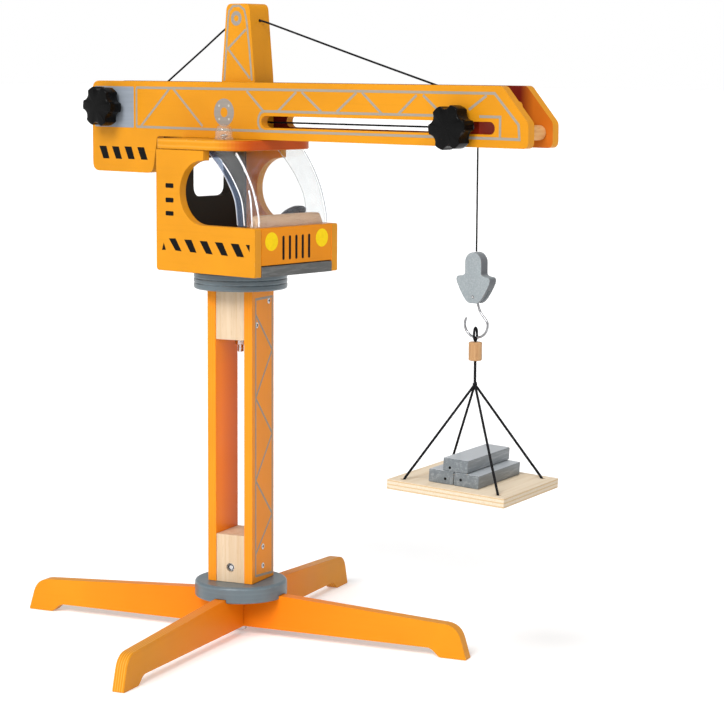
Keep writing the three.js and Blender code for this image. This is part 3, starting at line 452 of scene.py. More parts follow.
# name: (material, slot of the record)
FINISH = {
    # The legs' hub colour is painted shade.
    "leg_a": (painted_wood("orange_leg_a", ORANGE, "X", "Y", width=11.6, marks=0.35, hub_shade=LEG_HUB_PAINTED_SHADE),
              "orange_paint"),
    "leg_b": (painted_wood("orange_leg_b", ORANGE, "Y", "X", width=11.6, marks=0.35, hub_shade=LEG_HUB_PAINTED_SHADE),
              "orange_paint"),
    # Mast faces inside its gap take painted bounce light, deepening across the gap to painted shade.
    "mast": (painted_wood("orange_mast", (0.7, 0.225, 0.007), "Z", "X", marks=0.1,
                          inner=(0.92, 0.28, 0.002), fade=((0.62, 0.13, 0.002), "Y", -0.012, 0.02)),
             "orange_paint"),
    # Faces inside the cab take a brighter, redder orange: painted bounce light.
    "side": (painted_wood("orange_side", ORANGE, "X", "Y", marks=0.12, inner=(0.88, 0.235, 0.01)),
             "orange_paint"),
    "front": (painted_wood("orange_front", (0.64, 0.212, 0.003), "Y", "X", marks=0.12), "orange_paint"),
    # Roof faces turned to +X, under the jib, take a dark red: painted shade.
    "roof": (painted_wood("orange_roof", ORANGE, "X", "Z", width=9.8, plies=2, marks=0.14,
                          inner=(0.44, 0.05, 0.004)), "orange_paint"),
    # Jib faces inside its gap take painted shade, paler towards the open tip.
    "jib": (painted_wood("orange_jib", ORANGE, "X", "Y", marks=0.12, inner=JIB_GAP_PAINTED_SHADE,
                         fade=((0.47, 0.115, 0.008), "X", 0.316, 0.33)), "orange_paint"),
    "peak": (painted_wood("orange_peak", ORANGE, "Z"), "orange_paint"),
    # The trolley is painted orange; its deep red is painted shade, for where it sits inside the jib.
    "trolley": (painted_wood("trolley_orange_painted_shade", (0.3, 0.024, 0.008), "X"), "trolley_paint"),
    # The hook block's +X faces take a dark grey: painted shade.
    "grey": (painted_wood("grey_paint", linear(136, 143, 146), "Z", wear=0.35, rough=0.45, streaks=0.22,
                          inner=linear(84, 84, 88)), "grey_paint"),
    "grey_disc": (turned_paint("grey_disc", linear(90, 102, 108)), "grey_paint"),
    # Beam tops take a pale grey: a painted highlight.
    "grey_beam": (painted_wood("grey_beam", linear(102, 108, 112), "Y", wear=0.8, rough=0.34, streaks=0.22,
                               shine=0.5, inner=linear(182, 187, 192)), "beam_paint"),
    "bumper": (painted_wood("grey_bumper", linear(88, 89, 88), "Y", wear=0.3, rough=0.5, streaks=0.12),
               "grey_paint"),
    "dark": (painted_wood("charcoal_paint", linear(48, 45, 40), "Y", wear=0.2, rough=0.6), "cab_dark"),
    "beech_z": (bare_wood("beech_upright", LIGHT_BEECH, DARK_BEECH, "Z", flecks=0.15), "beech"),
    "beech_y": (bare_wood("beech_across", LIGHT_BEECH, DARK_BEECH, "Y"), "beech"),
    "dowel": (bare_wood("beech_dowel", linear(214, 166, 110), linear(186, 122, 62), "Y"), "beech"),
    "dash": (bare_wood("dashboard_wood", linear(210, 174, 136), linear(176, 130, 92), "Y"), "beech"),
    "bead": (bare_wood("beech_bead", linear(184, 144, 102), linear(146, 104, 66), "Z", flecks=0.3),
             "beech"),
    "ply": (ply_sheet("pallet_ply", linear(222, 206, 182), linear(196, 168, 130), "Y"), "pale_ply"),
    "black": (plastic("black_plastic", (0.003, 0.003, 0.003), 0.16), "black_plastic"),
    "wheel": (plastic("steering_black", (0.004, 0.002, 0.008), 0.28), "black_plastic"),
    "zinc": (steel("zinc_steel", (0.62, 0.62, 0.63)), "screw_steel"),
    "wire": (steel("bright_wire", (0.3, 0.3, 0.31), 0.2), "hook_wire"),
    "cord": (braid("cord_black", (0.006, 0.006, 0.007)), "cord_black"),
    "clear": (clear_plastic("canopy_clear", haze_and_painted_light=0.04, body=(0.62, 0.66, 0.7)), "clear_sheet"),
    # A blue-grey painted reflection on the canopy sheet, on the near side and the far crease.
    "rim": (clear_plastic("canopy_side", (0.6, 0.65, 0.74), 0.3, linear(78, 94, 120)), "clear_sheet"),
    # Whitish lines of painted highlight on the canopy's edges and creases.
    "painted_highlight_line": (clear_plastic("canopy_painted_highlight", (0.9, 0.92, 0.95), 0.7, (0.95, 0.96, 0.98)), "clear_sheet"),
    "dome": (clear_plastic("beacon_clear", (0.95, 0.95, 0.94), 0.06, gloss=1.2), "clear_sheet"),
    "line": (ink("ink_line", linear(146, 138, 125)), None),
    "line_grey": (ink("ink_grey", linear(134, 141, 150)), None),
    "line_warm": (ink("ink_warm", linear(140, 134, 127)), None),
    "line_pale": (ink("ink_pale", linear(178, 176, 168)), None),
    "black_ink": (ink("ink_black", (0.003, 0.003, 0.003), 0.45), None),
    "yellow_ink": (ink("ink_yellow", (0.8, 0.56, 0.004), 0.4), None),
}


# ---- Making pieces ---------------------------------------------------------------------------

def add_piece(name, bm, finish, body, stands_for=(), smooth=35.0, frame_of=CRANE, thick=None, inner=None,
              placed=True, extra=()):
    """Turns a bmesh, in millimetres, into a piece on a body; it replaces the named CAD nodes.

    A bmesh drawn in frame_of's own coordinates is passed with placed=False.
    """
    if not placed:
        bmesh.ops.transform(bm, matrix=frame_of, verts=bm.verts)
    bmesh.ops.recalc_face_normals(bm, faces=bm.faces)
    mesh = bpy.data.meshes.new(name)
    bm.to_mesh(mesh)
    bm.free()
    local = frame_of.inverted()
    at = mesh.attributes.new("at", "FLOAT_VECTOR", "POINT")
    at.data.foreach_set("vector", [part * MM for v in mesh.vertices for part in local @ v.co])
    turn = local.to_3x3()
    if thick:
        cut = mesh.attributes.new("cut", "FLOAT", "FACE")
        axis = "XYZ".index(thick)
        cut.data.foreach_set("value", [float(abs((turn @ p.normal)[axis]) < 0.7) for p in mesh.polygons])
    # Each face's share of its material's colour of painted light.
    if inner:
        painted_light_mask = mesh.attributes.new("inner", "FLOAT", "FACE")
        painted_light_mask.data.foreach_set("value", [float(inner(local @ p.center, turn @ p.normal))
                                        for p in mesh.polygons])
    mesh.transform(Matrix.Scale(MM, 4))
    for key in (finish, *extra):
        mesh.materials.append(FINISH[key][0])
    mesh.polygons.foreach_set("use_smooth", [True] * len(mesh.polygons))
    mesh.set_sharp_from_angle(angle=math.radians(smooth))
    piece = bpy.data.objects.new(name, mesh)
    bpy.context.scene.collection.objects.link(piece)
    weighted = piece.modifiers.new("flat faces stay flat", "WEIGHTED_NORMAL")
    weighted.keep_sharp = True
    weighted.weight = 80
    if body:
        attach(piece, body)
    if stands_for:
        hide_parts(*stands_for)
    return piece


def ease_edges(bm, width):
    """Rounds every edge sharper than 28 degrees and marks the new faces as edges."""
    mark = bm.faces.layers.float.new("edge")
    sharp = [e for e in bm.edges if len(e.link_faces) == 2 and e.calc_face_angle(0) > math.radians(28)]
    made = bmesh.ops.bevel(bm, geom=sharp, offset=width, offset_type="OFFSET", segments=3, profile=0.5,
                           affect="EDGES", clamp_overlap=True)
    for face in made["faces"]:
        face[mark] = 1.0


def refined(node, finish, width, frame_of=CRANE, thick=None, inner=None):
    """The CAD node's own shape with eased edges and smooth curves."""
    bm = bmesh.new()
    bm.from_mesh(nodes[node].data)
    bmesh.ops.scale(bm, vec=(1000, 1000, 1000), verts=bm.verts)
    bmesh.ops.remove_doubles(bm, verts=bm.verts, dist=0.002)
    bmesh.ops.dissolve_limit(bm, angle_limit=math.radians(0.6), verts=bm.verts, edges=bm.edges)
    ease_edges(bm, width)
    return add_piece(node + "_wood", bm, finish, nodes[node]["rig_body"], (node,), 40.0, frame_of, thick,
                     inner)


def skin(bm, rings, loop=False):
    """Joins rings with the same number of points into a solid's skin: closed by caps, or into a loop."""
    made = [[bm.verts.new(p) for p in ring] for ring in rings]
    count = len(made[0])
    for a, b in zip(made, made[1:] + (made[:1] if loop else [])):
        for i in range(count):
            j = (i + 1) % count
            bm.faces.new((a[i], a[j], b[j], b[i]))
    if not loop:
        bm.faces.new(list(reversed(made[0])))
        bm.faces.new(made[-1])
    return made


def circle(count):
    return [2 * math.pi * i / count for i in range(count)]


def about(at, axis, angle, radius, along):
    """Point at an angle and radius about the Z or Y axis through a place, and some way along it."""
    u, v = radius * math.cos(angle), radius * math.sin(angle)
    return (at[0] + u, at[1] + v, at[2] + along) if axis == "Z" else (at[0] + u, at[1] + along, at[2] + v)


def lathe(profile, sides, at, axis="Z", loop=False):
    """Round solid from (radius, height) points: capped at both ends, or a loop with a hollow."""
    bm = bmesh.new()
    skin(bm, [[about(at, axis, a, max(radius, 0.001), height) for a in circle(sides)]
              for radius, height in profile], loop)
    return bm


def smooth_path(points, spacing, loop=False):
    """Catmull-Rom curve through the points, or a straight line in short steps between two."""
    if len(points) == 2:
        count = max(2, int((points[1] - points[0]).length / 6) + 1)
        return [points[0].lerp(points[1], i / (count - 1)) for i in range(count)]
    out = []
    padded = [2 * points[0] - points[1], *points, 2 * points[-1] - points[-2]]
    if loop:
        padded = [points[-1], *points, points[0], points[1]]
    for a, b, c, d in zip(padded, padded[1:], padded[2:], padded[3:]):
        steps = max(2, int((c - b).length / spacing))
        for i in range(steps):
            t = i / steps
            out.append(0.5 * (2 * b + (c - a) * t + (2 * a - 5 * b + 4 * c - d) * t * t
                              + (3 * b - a - 3 * c + d) * t ** 3))
    return out if loop else [*out, points[-1]]


def tube(points, radius, sides=12, round_ends=False, spacing=1.6, loop=False):
    """Tube along a smooth path, with its length and girth as UVs for the braid."""
    path = smooth_path([Vector(p) for p in points], spacing, loop)
    side = (path[1] - path[0]).normalized().orthogonal().normalized()
    rings, length, last = [], 0.0, len(path) - 1
    for i, point in enumerate(path):
        if loop:
            ahead, behind = path[(i + 1) % len(path)], path[i - 1]
        else:
            ahead, behind = path[min(i + 1, last)], path[max(i - 1, 0)]
        tangent = (ahead - behind).normalized()
        side = (side - tangent * side.dot(tangent)).normalized()
        if i:
            length += (point - path[i - 1]).length
        rings.append((point, side.copy(), tangent.cross(side), tangent, radius, length))
    if round_ends:
        for index, outward in ((0, -1), (-1, 1)):
            point, side, other, tangent, _, length = rings[index]
            for t in (0.5, 1.0, 1.4):
                end = (point + tangent * outward * radius * math.sin(t), side, other, tangent,
                       radius * math.cos(t), length)
                rings.insert(0 if index == 0 else len(rings), end)
    bm = bmesh.new()
    made = skin(bm, [[p + (s * math.cos(a) + o * math.sin(a)) * r for a in circle(sides)]
                     for p, s, o, _, r, _ in rings], loop)
    uv = bm.loops.layers.uv.new("UVMap")
    where = {vert: (rings[row][5] * MM, column / sides)
             for row, ring in enumerate(made) for column, vert in enumerate(ring)}
    for face in bm.faces:
        columns = [where[corner.vert][1] for corner in face.loops]
        wraps = max(columns) - min(columns) > 0.5
        for corner in face.loops:
            along, around = where[corner.vert]
            corner[uv].uv = (along, around + (1.0 if wraps and around < 0.5 else 0.0))
    return bm


def helix(radius, rise, turns, at, axis="Z", steps=14, start=0.0):
    """Points of a coil about the axis; rise is the height of one turn."""
    return [about(at, axis, start + 2 * math.pi * i / steps, radius, rise * i / steps)
            for i in range(int(turns * steps) + 1)]


def plate(outline, low, high, plane):
    """Closed plate from a flat outline; plane names the axis, X or Y, that it is thick along."""
    bm = bmesh.new()
    skin(bm, [[(w, u, v) if plane == "X" else (u, w, v) for u, v in outline] for w in (low, high)])
    return bm


def joined(parts):
    """One bmesh that holds all the parts."""
    whole = bmesh.new()
    for part in parts:
        mesh = bpy.data.meshes.new("part")
        part.to_mesh(mesh)
        part.free()
        whole.from_mesh(mesh)
        bpy.data.meshes.remove(mesh)
    return whole


def stroke(points, width):
    """A drawn line as strips with mitred corners."""
    pts = [Vector((*p, 0)) for p in points]

    def offset(i):
        before = pts[i] - pts[i - 1] if i > 0 else pts[1] - pts[0]
        after = pts[i + 1] - pts[i] if i < len(pts) - 1 else pts[-1] - pts[-2]
        n1 = Vector((-before.y, before.x, 0)).normalized()
        n2 = Vector((-after.y, after.x, 0)).normalized()
        middle = (n1 + n2).normalized()
        return middle * (width / 2 / max(0.4, middle.dot(n1)))

    strips = []
    for i in range(len(pts) - 1):
        a, b = offset(i), offset(i + 1)
        strips.append([(p.x, p.y) for p in (pts[i] + a, pts[i] - a, pts[i + 1] - b, pts[i + 1] + b)])
    return strips


def printed(name, outlines, finish, body, plane, face, outward, frame_of=CRANE):
    """Ink on a flat face: thin plates lying on it, each group a hair prouder than the one before."""
    parts = []
    for layer, lines in enumerate(outlines):
        low, high = sorted((face + outward * 0.015, face + outward * (0.07 + 0.008 * layer)))
        parts += [plate(outline, low, high, plane) for outline in lines]
    bm = joined(parts)
    return add_piece(name, bm, finish, body, frame_of=frame_of, placed=False)


def ring_outline(x, z, outer, inner, sides=40):
    """A flat ring as quads, so that its middle stays open."""
    def at(radius, a):
        return (x + radius * math.cos(a), z + radius * math.sin(a))

    step = 2 * math.pi / sides
    return [[at(outer, a), at(outer, a + step), at(inner, a + step), at(inner, a)] for a in circle(sides)]


def disc_outline(x, z, radius, sides):
    return [(x + radius * math.cos(a), z + radius * math.sin(a)) for a in circle(sides)]


def rounded_box(x0, z0, x1, z1, r, steps=5):
    corners = [(x1 - r, z1 - r, 0), (x0 + r, z1 - r, 90), (x0 + r, z0 + r, 180), (x1 - r, z0 + r, 270)]
    outline = []
    for x, z, start in corners:
        for i in range(steps + 1):
            a = math.radians(start + 90 * i / steps)
            outline.append((x + r * math.cos(a), z + r * math.sin(a)))
    return outline


# ---- Wood and small parts carried over from the CAD -------------------------------------------

# Tests of a face by its middle and its normal: how far it takes its material's inner colour. That colour is
# painted light: painted shade or painted bounce light in gaps and on sides turned from the light, and a
# painted highlight on beam tops.

# Faces inside the mast's gap: painted bounce light and painted shade.
def mast_gap(middle, normal):
    return abs(middle.x) < 15.3


# Cab side faces inside the cab: painted bounce light.
def cab_inside(middle, normal):
    return abs(middle.y) < 48.5


# Faces inside the jib's gap: painted shade.
def jib_gap(middle, normal):
    return abs(middle.y) < 13.3


# Roof faces turned to +X, under the jib: painted shade.
def roof_front(middle, normal):
    return 0.9 * max(0, normal.x) if abs(normal.z) < 0.8 else 0


# Hook block faces turned to +X: painted shade.
def block_front(middle, normal):
    return 0.85 * max(0, normal.x)


# Beam tops: a painted highlight.
def beam_top(middle, normal):
    return 0.8 * (normal.z > 0.7)


# The last column picks the faces that take painted light: painted shade, bounce light or highlight.
WOOD = [  # node, finish, edge radius, frame, the axis that a board is thick along, test for inner faces
    ("leg_board_a", "leg_a", 1.0, STAND, "Y"),
    ("leg_board_b", "leg_b", 1.0, STAND, "X"),
    ("base_disc", "grey_disc", 1.6, STAND, "Z"),
    ("turntable_disc", "grey_disc", 0.7, STAND, "Z"),
    ("mast_board_left", "mast", 1.1, STAND, "X", mast_gap),
    ("mast_board_right", "mast", 1.1, STAND, "X", mast_gap),
    ("mast_block_bottom", "beech_z", 0.7, STAND),
    ("mast_block_top", "beech_z", 0.7, STAND),
    ("cab_side_right", "side", 0.9, CRANE, "Y", cab_inside),
    ("cab_side_left", "side", 0.9, CRANE, "Y", cab_inside),
    ("cab_floor", "dark", 0.4, CRANE, "Z"),
    ("cab_back_panel", "dark", 0.6, CRANE, "X"),
    ("cab_front_panel", "front", 0.7, CRANE, "X"),
    ("cab_bumper", "bumper", 0.6),
    ("cab_dashboard", "dash", 0.9),
    ("cab_roof", "roof", 1.0, CRANE, "Z", roof_front),
    ("jib_board_right", "jib", 1.0, CRANE, "Y", jib_gap),
    ("jib_board_left", "jib", 1.0, CRANE, "Y", jib_gap),
    ("peak_block", "peak", 1.3),
    ("tip_dowel", "dowel", 0.6),
    ("tip_spacer", "peak", 0.5),
    ("rear_dowel", "beech_y", 0.6),
    ("stay_pin_rear", "beech_y", 0.2),
    ("stay_pin_front", "beech_y", 0.2),
    ("trolley_block", "trolley", 0.7),
    ("hook_block", "grey", 0.9, CRANE, None, block_front),
    ("pallet", "ply", 0.35, DECK, "Z"),
    ("beam_lower_left", "grey_beam", 1.4, DECK, None, beam_top),
    ("beam_lower_right", "grey_beam", 1.4, DECK, None, beam_top),
    ("beam_top", "grey_beam", 1.4, DECK, None, beam_top),
    ("winch_spool", "beech_y", 0.3),
    ("base_bolt", "zinc", 0.2, STAND),
    ("hook_pin", "zinc", 0.15),
    ("steering_wheel", "wheel", 0.5),
    ("winch_cap", "black", 0.6),
    ("trolley_bolt", "zinc", 0.2),
    ("slew_nut", "zinc", 0.2, STAND),
    ("slew_bolt", "zinc", 0.2),
]
for row in WOOD:
    refined(*row)


# ---- Screws ----------------------------------------------------------------------------------

def screw(name, matrix, radius, dome, length, shank, body, stands_for=(), place=CRANE):
    """Screw with a cross recess; its shank runs along -Z of the matrix, which sets it in place."""
    bm = bmesh.new()
    recess_shade = bm.faces.layers.float.new("recess_shade")
    reach, half_slot, depth = 0.6, radius * 0.16, radius * 0.42
    fractions = (0.96, 0.88, 0.76, 0.66, reach, reach - 0.03, 0.48, 0.36, 0.26, 0.16, 0.05)
    rings = [[(r * math.cos(a), r * math.sin(a), z) for a in circle(64)]
             for r, z in ((shank * 0.5, -length), (shank, -length + 1), (shank, shank - radius - 0.3),
                          (radius, -0.3), (radius, -0.02))]
    for f in fractions:
        ring = []
        for a in circle(64):
            x, y = f * radius * math.cos(a), f * radius * math.sin(a)
            sunk = f < reach and (abs(x) < half_slot or abs(y) < half_slot)
            ring.append((x, y, dome * (1 - f * f) - (depth * min(1.0, (reach - f) * 8) if sunk else 0)))
        rings.append(ring)
    skin(bm, rings)
    # Faces down in the cross recess take painted shade.
    for face in bm.faces:
        middle = face.calc_center_median()
        if middle.xy.length < reach * radius and -1.2 * depth < middle.z < dome * 0.5:
            face[recess_shade] = 1.0
    bmesh.ops.transform(bm, matrix=matrix, verts=bm.verts)
    return add_piece(name, bm, "zinc", body, stands_for, smooth=50, frame_of=place)


for number in range(1, 9):
    node = f"mast_screw_{number}"
    low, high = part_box(node)
    middle = STAND.inverted() @ ((Vector(low) + Vector(high)) / 2 / MM)
    side = 1 if middle.x > 0 else -1
    turn = Matrix.Rotation(math.radians(90 * side), 4, "Y") @ Matrix.Rotation(number * 0.9, 4, "Z")
    into = STAND @ Matrix.Translation((side * 23.45, middle.y, middle.z)) @ turn
    screw(node + "_head", into, 2.8, 0.25, 13.2, 1.4, "stand", (node,), STAND)

barrel = [(0, -20.6), (1.9, -20.6), (2.1, -20.4), (2.2, -17.5), (3.0, -17.4), (3.1, -20.8), (3.3, -21.1),
          (3.8, -21.0), (4, -20.6), (4, 3.6), (3.6, 4), (0, 4)]
add_piece("barrel_nut_cup", lathe(barrel, 48, (0, 0, 68.2), "Y"), "zinc", "stand", ("barrel_nut",), 45,
          STAND, placed=False)


# ---- Knobs -----------------------------------------------------------------------------------

def knob_radius(angle, phase):
    """Outline of a knob: a disc with a round notch between each two lobes, softly cornered."""
    radius, lobes, softness = 19.6, 6, 0.7
    step = 2 * math.pi / lobes
    turn = (angle - phase + step / 2) % step - step / 2
    out, notch = radius * 1.17, radius * 0.36
    across = out * math.sin(turn)
    if abs(across) >= notch:
        return radius
    near = out * math.cos(turn) - math.sqrt(notch * notch - across * across)
    return -math.log(math.exp(-near / softness) + math.exp(-radius / softness)) * softness


def knob(name, x, z, phase, bore, body, node):
    """Star knob: domed face, rounded rim, and a neck with a bore behind it."""
    angles = circle(216)
    outline = [knob_radius(a, math.radians(phase)) for a in angles]
    face = [(f, 1.9, -41.8 + 0.9 * f ** 3) for f in (0.02, 0.25, 0.45, 0.62, 0.75, 0.84, 0.9)]
    rim = [(1, 1.7 * (1 - math.sin(math.radians(t))), -40.9 + 1.9 * (1 - math.cos(math.radians(t))))
           for t in (12, 30, 48, 66, 84)]
    skirt = [(1, 0, -37), (1, 0, -30), (1, 0.2, -26.6), (1, 0.9, -25.3), (1, 1.8, -25)]
    rings = []
    for scale, inset, y in face + rim + skirt:
        rings.append([(x + (r - inset) * scale * math.cos(a), y, z + (r - inset) * scale * math.sin(a))
                      for a, r in zip(angles, outline)])
    neck = [(9.4, -25), (8.6, -24.2), (8.5, -22.2), (8.2, -21.9), (bore, -21.9), (bore, -35), (0.02, -35)]
    for r, y in neck:
        rings.append([(x + r * math.cos(a), y, z + r * math.sin(a)) for a in angles])
    bm = bmesh.new()
    skin(bm, rings)
    return add_piece(name, bm, "black", body, (node,), smooth=38)


WINCH_X, WINCH_Z = -153.9, 503.2
knob("winch_star_knob", WINCH_X, WINCH_Z, 26, 3.9, "winch", "winch_knob")
knob("trolley_star_knob", 277.5, 492.2, 36, 2.8, "trolley_clamp", "trolley_knob")


# ---- Clear canopy and beacon -----------------------------------------------------------------

SILL, EAVES = 396.7, 465.2
CORNER, SHEET, HALF_WIDTH = 6.5, 1.8, 48
DARK_REFLECTION_WIDTH = 8  # width of the blue-grey painted reflection along the near side's rear edge
FRONT_CURVE = [(69.4, SILL), (68.8, 408), (62, 430.5), (51.5, 450), (40, EAVES)]
REAR_CURVE = [(42, SILL), (38.5, 420), (30, 436), (19, 450), (3, EAVES)]


def curve_at(points, z):
    """x of the smooth curve through (x, z) points, at a height."""
    path = smooth_path([Vector((x, 0, h)) for x, h in points], 1.0)
    for a, b in zip(path, path[1:]):
        if a.z <= z <= b.z:
            return a.x + (b.x - a.x) * (z - a.z) / max(1e-6, b.z - a.z)
    return path[-1].x if z > path[-1].z else path[0].x


def canopy_path(z, inset):
    """Half of the canopy's outline at a height, from its rear edge round the corner to the middle."""
    rear, front = curve_at(REAR_CURVE, z), curve_at(FRONT_CURVE, z)
    turn_x, turn_y, bend = front - CORNER, HALF_WIDTH - CORNER, CORNER - inset
    side = [rear, rear + 4, rear + DARK_REFLECTION_WIDTH, rear + (turn_x - rear) * 0.92, turn_x]
    points = [(x, HALF_WIDTH - inset) for x in sorted(side)]
    for i in range(1, 10):
        a = math.radians(90 - 9 * i)
        points.append((turn_x + bend * math.cos(a), turn_y + bend * math.sin(a)))
    return [*points, *[(front - inset, y) for y in (turn_y, 17, 0)]]


def whole_ring(z):
    """The sheet's section at a height, once round its outside and back along its inside."""
    outer, inner = canopy_path(z, 0), canopy_path(z, SHEET)
    outer += [(x, -y) for x, y in reversed(outer[:-1])]
    inner += [(x, -y) for x, y in reversed(inner[:-1])]
    return [(x, y, z) for x, y in outer + inner[::-1]]


levels = [SILL + (EAVES - SILL) * i / 44 for i in range(45)]
bm = bmesh.new()
skin(bm, [whole_ring(z) for z in levels])
canopy = add_piece("canopy", bm, "clear", "upper", ("windshield",), smooth=25, extra=("rim",))
# Faces along the near side's rear edge take the blue-grey painted reflection.
for polygon in canopy.data.polygons:
    x, y, z = polygon.center * 1000
    if x < curve_at(REAR_CURVE, z) + DARK_REFLECTION_WIDTH + 0.1 and y < -44:
        polygon.material_index = 1
# Thin whitish tubes along the rear edges and creases are painted highlights; the far crease takes the
# blue-grey painted reflection.
for side, label in ((-1, "right"), (1, "left")):
    near = side < 0
    rear = [(curve_at(REAR_CURVE, z) - 0.5, side * 47.1, z) for z in levels[1:-1:3]]
    add_piece(f"canopy_rear_painted_highlight_{label}", tube(rear, 0.7 if near else 0.3, 10, True), "painted_highlight_line", "upper")
    a, reach = math.radians(50), CORNER - 0.1
    crease = [(curve_at(FRONT_CURVE, z) - CORNER + reach * math.cos(a),
               side * (HALF_WIDTH - CORNER + reach * math.sin(a)), z) for z in levels[1:-1:3]]
    add_piece(f"canopy_crease_painted_reflection_{label}", tube(crease, 0.85 if near else 0.3, 8, True),
              "painted_highlight_line" if near else "rim", "upper")
# Two more painted highlights on the near face, where the sheet catches the light.
NEAR_FACE = -HALF_WIDTH - 0.1
glint = [(curve_at(REAR_CURVE, z) + DARK_REFLECTION_WIDTH + 0.6, NEAR_FACE, z) for z in levels[1:-6:3]]
add_piece("canopy_side_painted_highlight", tube(glint, 0.55, 10, True), "painted_highlight_line", "upper")
glint = [(x, NEAR_FACE, z) for x, z in ((56.2, 430), (58.2, 421.9), (59.3, 409.6), (60.2, 397.6))]
add_piece("canopy_corner_painted_highlight", tube(glint, 0.7, 10, True), "painted_highlight_line", "upper")

BEACON = (18, -41, 475.6)
dome = [(9, 0), (9, 1.3), (8.7, 1.8), (8.2, 2.2), (8.05, 5), (7.95, 7.8), (7.6, 9.6), (6.9, 11.2),
        (5.6, 12.5), (3.8, 13.4), (1.8, 13.75), (0, 13.8), (0, 12.3), (1.8, 12.2), (3.8, 11.6), (5.4, 10.4),
        (6.3, 8.6), (6.6, 6.8), (6.6, 0)]
add_piece("beacon_dome_clear", lathe(dome, 56, BEACON, loop=True), "dome", "upper", ("beacon_dome",), 40)
at = Matrix.Translation((BEACON[0], BEACON[1], BEACON[2] + 3.4)) @ Matrix.Rotation(0.4, 4, "Z")
screw("beacon_screw", at, 3.6, 1.5, 3.3, 1.8, "upper")


# ---- Cords, hook and load --------------------------------------------------------------------

stay = [(-115.6, 515), (-94, 528.9), (-50, 557.1), *[(x, 581.7 + 0.109 * x) for x in (-14, -4, 6, 16, 24)],
        (30, 583.6), (60, 575.4), (150, 550.4), (234, 527.6), (277.6, 515.8)]
add_piece("stay_cord_braid", tube([(x, 0, z) for x, z in stay], 0.9, 12, True, 3.0), "cord", "upper",
          ("stay_cord",))

run = [(-147.64, 494.74), (-135, 492.6), (-118, 491.1), (-60, 491.1), (100, 491.1), (262.7, 491.1)]
cord_run = add_piece("hoist_cord_run_braid", tube([(x, 0, z) for x, z in run], 0.85, 12, True, 3.0), "cord",
                     None, ("hoist_cord_run",))
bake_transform(cord_run)
bend = [(263, 491.1), (268, 490.6), (273, 488.9), (277.3, 487), (280, 484.2), (DROP_X, 481.4),
        (DROP_X, 479.3)]
add_piece("hoist_cord_bend_braid", tube([(x, 0, z) for x, z in bend], 0.75, 12), "cord", "trolley",
          ("hoist_cord_bend",))
cord_drop = add_piece("hoist_cord_drop_braid", tube([(DROP_X, 0, 479), (DROP_X, 0, 384.9)], 0.75, 12),
                      "cord", None, ("hoist_cord_drop",))
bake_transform(cord_drop)
coil = helix(8.45, 1.56, 11.5, (WINCH_X, -9.0, WINCH_Z), "Y")
add_piece("winch_cord_turns", tube(coil, 0.75, 10, True, 2.4), "cord", "winch", ("winch_coil",))


def arc(x, z, reach, rise, degrees):
    """Points of an upright round or oval arc about (x, z)."""
    turns = [math.radians(a) for a in degrees]
    return [(x + reach * math.cos(a), 0, z + rise * math.sin(a)) for a in turns]


eye = arc(DROP_X, 345.1, 3, 3, range(250, -61, -31))
bow = arc(281.7, 321.3, 12.4, 11.1, [12 - 21.7 * i for i in range(11)])
hook = [*eye, (285.6, 0, 333.6), (291, 0, 327.4), *bow]
add_piece("hook_wire_bent", tube(hook, 1.0, 16, True, 0.8), "wire", "hook", ("wire_hook",))
half = [(0, 307.3), (1.9, 309.6), (2.1, 313), (1.5, 317), (0, 318.8)]
loop = half + [(-y, z) for y, z in half[3:0:-1]]
add_piece("sling_loop_braid", tube([(DROP_X, y, z) for y, z in loop], 1.05, 12, spacing=0.8, loop=True),
          "cord", "hook", ("sling_loop",))

bead = [(1.9, 290), (4.9, 290), (5.45, 290.2), (5.72, 290.6), (5.8, 291.3), (5.8, 304.9), (5.72, 305.6),
        (5.45, 306), (4.9, 306.2), (1.9, 306.2)]
add_piece("bead_turned", lathe(bead, 56, (DROP_X, 0, 0), loop=True), "bead", "load", ("wood_bead",), 50)
add_piece("sling_stem", tube([(DROP_X, 0, 306), (DROP_X, 0, 270)], 1.2, 12), "cord", "load",
          ("sling_cords",))
knot = helix(1.25, 1.15, 2.4, (DROP_X, 0, 267.6), steps=12)
add_piece("sling_knot", tube(knot, 0.85, 10, True, 0.7), "cord", "load")
HOLE = 45.7  # from the pallet's middle to the sling holes, along both sides
for i, (sx, sy) in enumerate(((-1, -1), (1, -1), (1, 1), (-1, 1)), 1):
    top = Vector((DROP_X, 0, 269))
    corner = DECK @ Vector((sx * HOLE, sy * HOLE, 184.5))
    low = DECK @ Vector((sx * HOLE, sy * HOLE, 177.2))
    path = [top.lerp(corner, t) for t in (0, 0.2, 0.4, 0.6, 0.8, 0.97)] + [corner.lerp(low, 0.25), low]
    add_piece(f"sling_leg_{i}", tube(path, 1.1, 12), "cord", "load", frame_of=DECK)
    under = helix(1.5, 0.5, 1.4, (sx * HOLE, sy * HOLE, 175.7), steps=12, start=i)
    points = [DECK @ Vector(p) for p in under]
    add_piece(f"sling_end_knot_{i}", tube(points, 0.65, 10, True, 0.8), "cord", "load", frame_of=DECK)


# ---- Printed lines and marks -----------------------------------------------------------------

